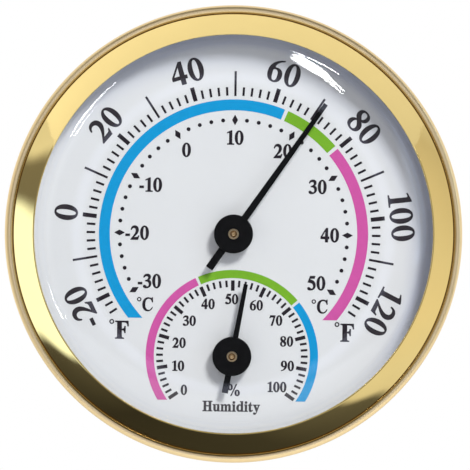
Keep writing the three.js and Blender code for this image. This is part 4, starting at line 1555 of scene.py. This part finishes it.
class INSTRUMENT_OT_studio(Maker):
    """Set the camera, the lights, the surroundings and a pale floor"""

    bl_idname = "instrument.studio"
    bl_label = "Studio"

    def make(self, context):
        studio = context.scene.instrument_studio
        self.camera(context, studio)
        self.lights(studio)
        self.surroundings(context)
        self.floor()
        context.scene.view_settings.view_transform = "Standard"

    def camera(self, context, studio):
        data = bpy.data.cameras.new("camera")
        data.sensor_width = 36.0
        data.lens = data.sensor_width / 2 * studio.distance / studio.half_width
        camera = bpy.data.objects.new("camera", data)
        bpy.context.scene.collection.objects.link(camera)
        camera.location = (CAMERA["x"] * MM, CREST_Y * MM - studio.distance, CAMERA["z"] * MM)
        camera.rotation_euler = (math.pi / 2, math.radians(CAMERA["roll"]), 0)
        context.scene.camera = camera

    def lights(self, studio):
        """The main light lights everything but is seen in nothing; each panel is seen only
        in the lens."""
        key = self.light("key", 30, 42, 0, "RECTANGLE", 0.24, 0.26, studio.key)
        key.visible_glossy = False
        lens_only = bpy.data.collections.new("lens_only")
        lens_only.objects.link(bpy.data.objects["dome_lens"])
        for name, bearing, off_axis, turn, shape, wide, tall, glow in PANELS:
            wide, tall = (2 * PANEL_DISTANCE * math.tan(math.radians(a / 2)) for a in (wide, tall))
            power = glow * math.pi * wide * tall
            panel = self.light(name, bearing, off_axis, turn, shape, wide, tall, power)
            panel.light_linking.receiver_collection = lens_only

    def light(self, name, bearing, off_axis, turn, shape, wide, tall, power):
        """A panel facing the dial, its width running round the axis, then turned."""
        data = bpy.data.lights.new(name, "AREA")
        data.shape, data.size, data.size_y, data.energy = shape, wide, tall, power
        light = bpy.data.objects.new(name, data)
        bpy.context.scene.collection.objects.link(light)
        way = self.way(bearing, off_axis)
        round_axis = way.cross(Vector((0, -1, 0))).normalized()
        facing = Matrix((round_axis, way.cross(round_axis), way)).transposed()
        light.matrix_world = (
            Matrix.Translation(way * PANEL_DISTANCE) @ facing.to_4x4()
            @ Matrix.Rotation(math.radians(turn), 4, "Z")
        )
        return light

    def way(self, bearing, off_axis):
        """A direction by its bearing, clockwise from straight up as seen from the front,
        and its angle off the dial's axis."""
        a, b = math.radians(bearing), math.radians(off_axis)
        return Vector((math.sin(b) * math.sin(a), -math.cos(b), math.sin(b) * math.cos(a)))

    def surroundings(self, context):
        """A pale studio. In front of the bezel's dished face the walls change with the
        bearing: dark above the camera, a bright panel to its right."""
        world = bpy.data.worlds.new("studio")
        context.scene.world = world
        finish = Finish("studio", world)
        way = finish.add("ShaderNodeTexCoord", output="Generated")
        node = finish.nodes.new("ShaderNodeSeparateXYZ")
        finish.links.new(way.socket, node.inputs[0])
        x, y, z = (Value(finish, socket) for socket in node.outputs)
        angle = x.maths("ARCTAN2", x, z)
        lean = (angle - math.radians(BEARING_SHIFT["turn"])) * 2
        widen = x.maths("SINE", lean) * (y - BEARING_SHIFT["depth"]) * BEARING_SHIFT["share"]
        bearing = angle / (2 * math.pi) + 0.5 + widen
        ramp = finish.nodes.new("ShaderNodeValToRGB")
        finish.links.new(bearing.socket, ramp.inputs[0])
        elements = ramp.color_ramp.elements
        while len(elements) < len(WALLS):
            elements.new(0.5)
        for element, (angle, level, cool) in zip(elements, WALLS):
            element.position = (angle + 180) / 360
            level /= WORLD_STRENGTH
            element.color = (level, level * (1 + (cool - 1) * 0.4), level * cool, 1)
        walls = finish.blend(1.0, (0, 0, 0), Value(finish, ramp.outputs[0]))
        fades = {name: y.step(*depths) for name, depths in DEPTHS.items()}
        beside = fades["walls_begin"] * (1.0 - fades["walls_end"])
        ahead = fades["ahead_begins"] * (1.0 - fades["ahead_ends"])
        behind = fades["behind_begins"]
        plain = finish.blend(fades["dark_spot_ends"], (0.02, 0.02, 0.02), (0.12, 0.12, 0.12))
        plain = finish.blend(ahead, plain, (0.40, 0.42, 0.54))
        plain = finish.blend(behind, plain, (0.41, 0.41, 0.42))
        level = finish.blend(beside, plain, walls)
        seen = finish.add("ShaderNodeLightPath", output="Is Camera Ray")
        shown = finish.blend(seen, level, (1 / WORLD_STRENGTH,) * 3)
        background = finish.add("ShaderNodeBackground", inputs={
            "Color": shown, "Strength": WORLD_STRENGTH,
        })
        out = finish.nodes.new("ShaderNodeOutputWorld")
        finish.links.new(background.socket, out.inputs["Surface"])

    def floor(self):
        bm = bmesh.new()
        radius, thick = FLOOR["r"], FLOOR["thick"]
        add_turned(bm, [(0, 0), (radius, 0), (radius, thick), (0, thick)], 96)
        drop = Matrix.Translation((0, 0, FLOOR["z"])) @ Matrix.Rotation(-math.pi / 2, 4, "X")
        bmesh.ops.transform(bm, matrix=drop, verts=bm.verts)
        stand_up("floor", close_up(bm, "floor"), material("studio_white"))


# ---- panel and registration ---------------------------------------------------------

MAKERS = (
    INSTRUMENT_OT_bezel, INSTRUMENT_OT_lens, INSTRUMENT_OT_dial, INSTRUMENT_OT_scales,
    INSTRUMENT_OT_lettering, INSTRUMENT_OT_pointers, INSTRUMENT_OT_case, INSTRUMENT_OT_stand,
    INSTRUMENT_OT_movements, INSTRUMENT_OT_studio,
)


class INSTRUMENT_PT_panel(bpy.types.Panel):
    """Lists the instrument's settings and pieces"""

    bl_idname = "INSTRUMENT_PT_panel"
    bl_label = "Instrument"
    bl_space_type = "VIEW_3D"
    bl_region_type = "UI"
    bl_category = "Instrument"

    def draw(self, context):
        scene = context.scene
        for group in (scene.instrument_print, scene.instrument_finish, scene.instrument_studio):
            box = self.layout.box()
            for name in group.__annotations__:
                box.prop(group, name)
        for maker in MAKERS:
            self.layout.operator(maker.bl_idname)


GROUPS = {
    "instrument_print": PrintProperties,
    "instrument_finish": FinishProperties,
    "instrument_studio": StudioProperties,
}


def register():
    for name, group in GROUPS.items():
        bpy.utils.register_class(group)
        setattr(bpy.types.Scene, name, PointerProperty(type=group))
    for maker in (*MAKERS, INSTRUMENT_PT_panel):
        bpy.utils.register_class(maker)


def unregister():
    for maker in reversed((*MAKERS, INSTRUMENT_PT_panel)):
        bpy.utils.unregister_class(maker)
    for name, group in GROUPS.items():
        delattr(bpy.types.Scene, name)
        bpy.utils.unregister_class(group)


def main():
    register()
    for maker in MAKERS:
        area, name = maker.bl_idname.split(".")
        getattr(getattr(bpy.ops, area), name)()


if __name__ == "__main__":
    main()
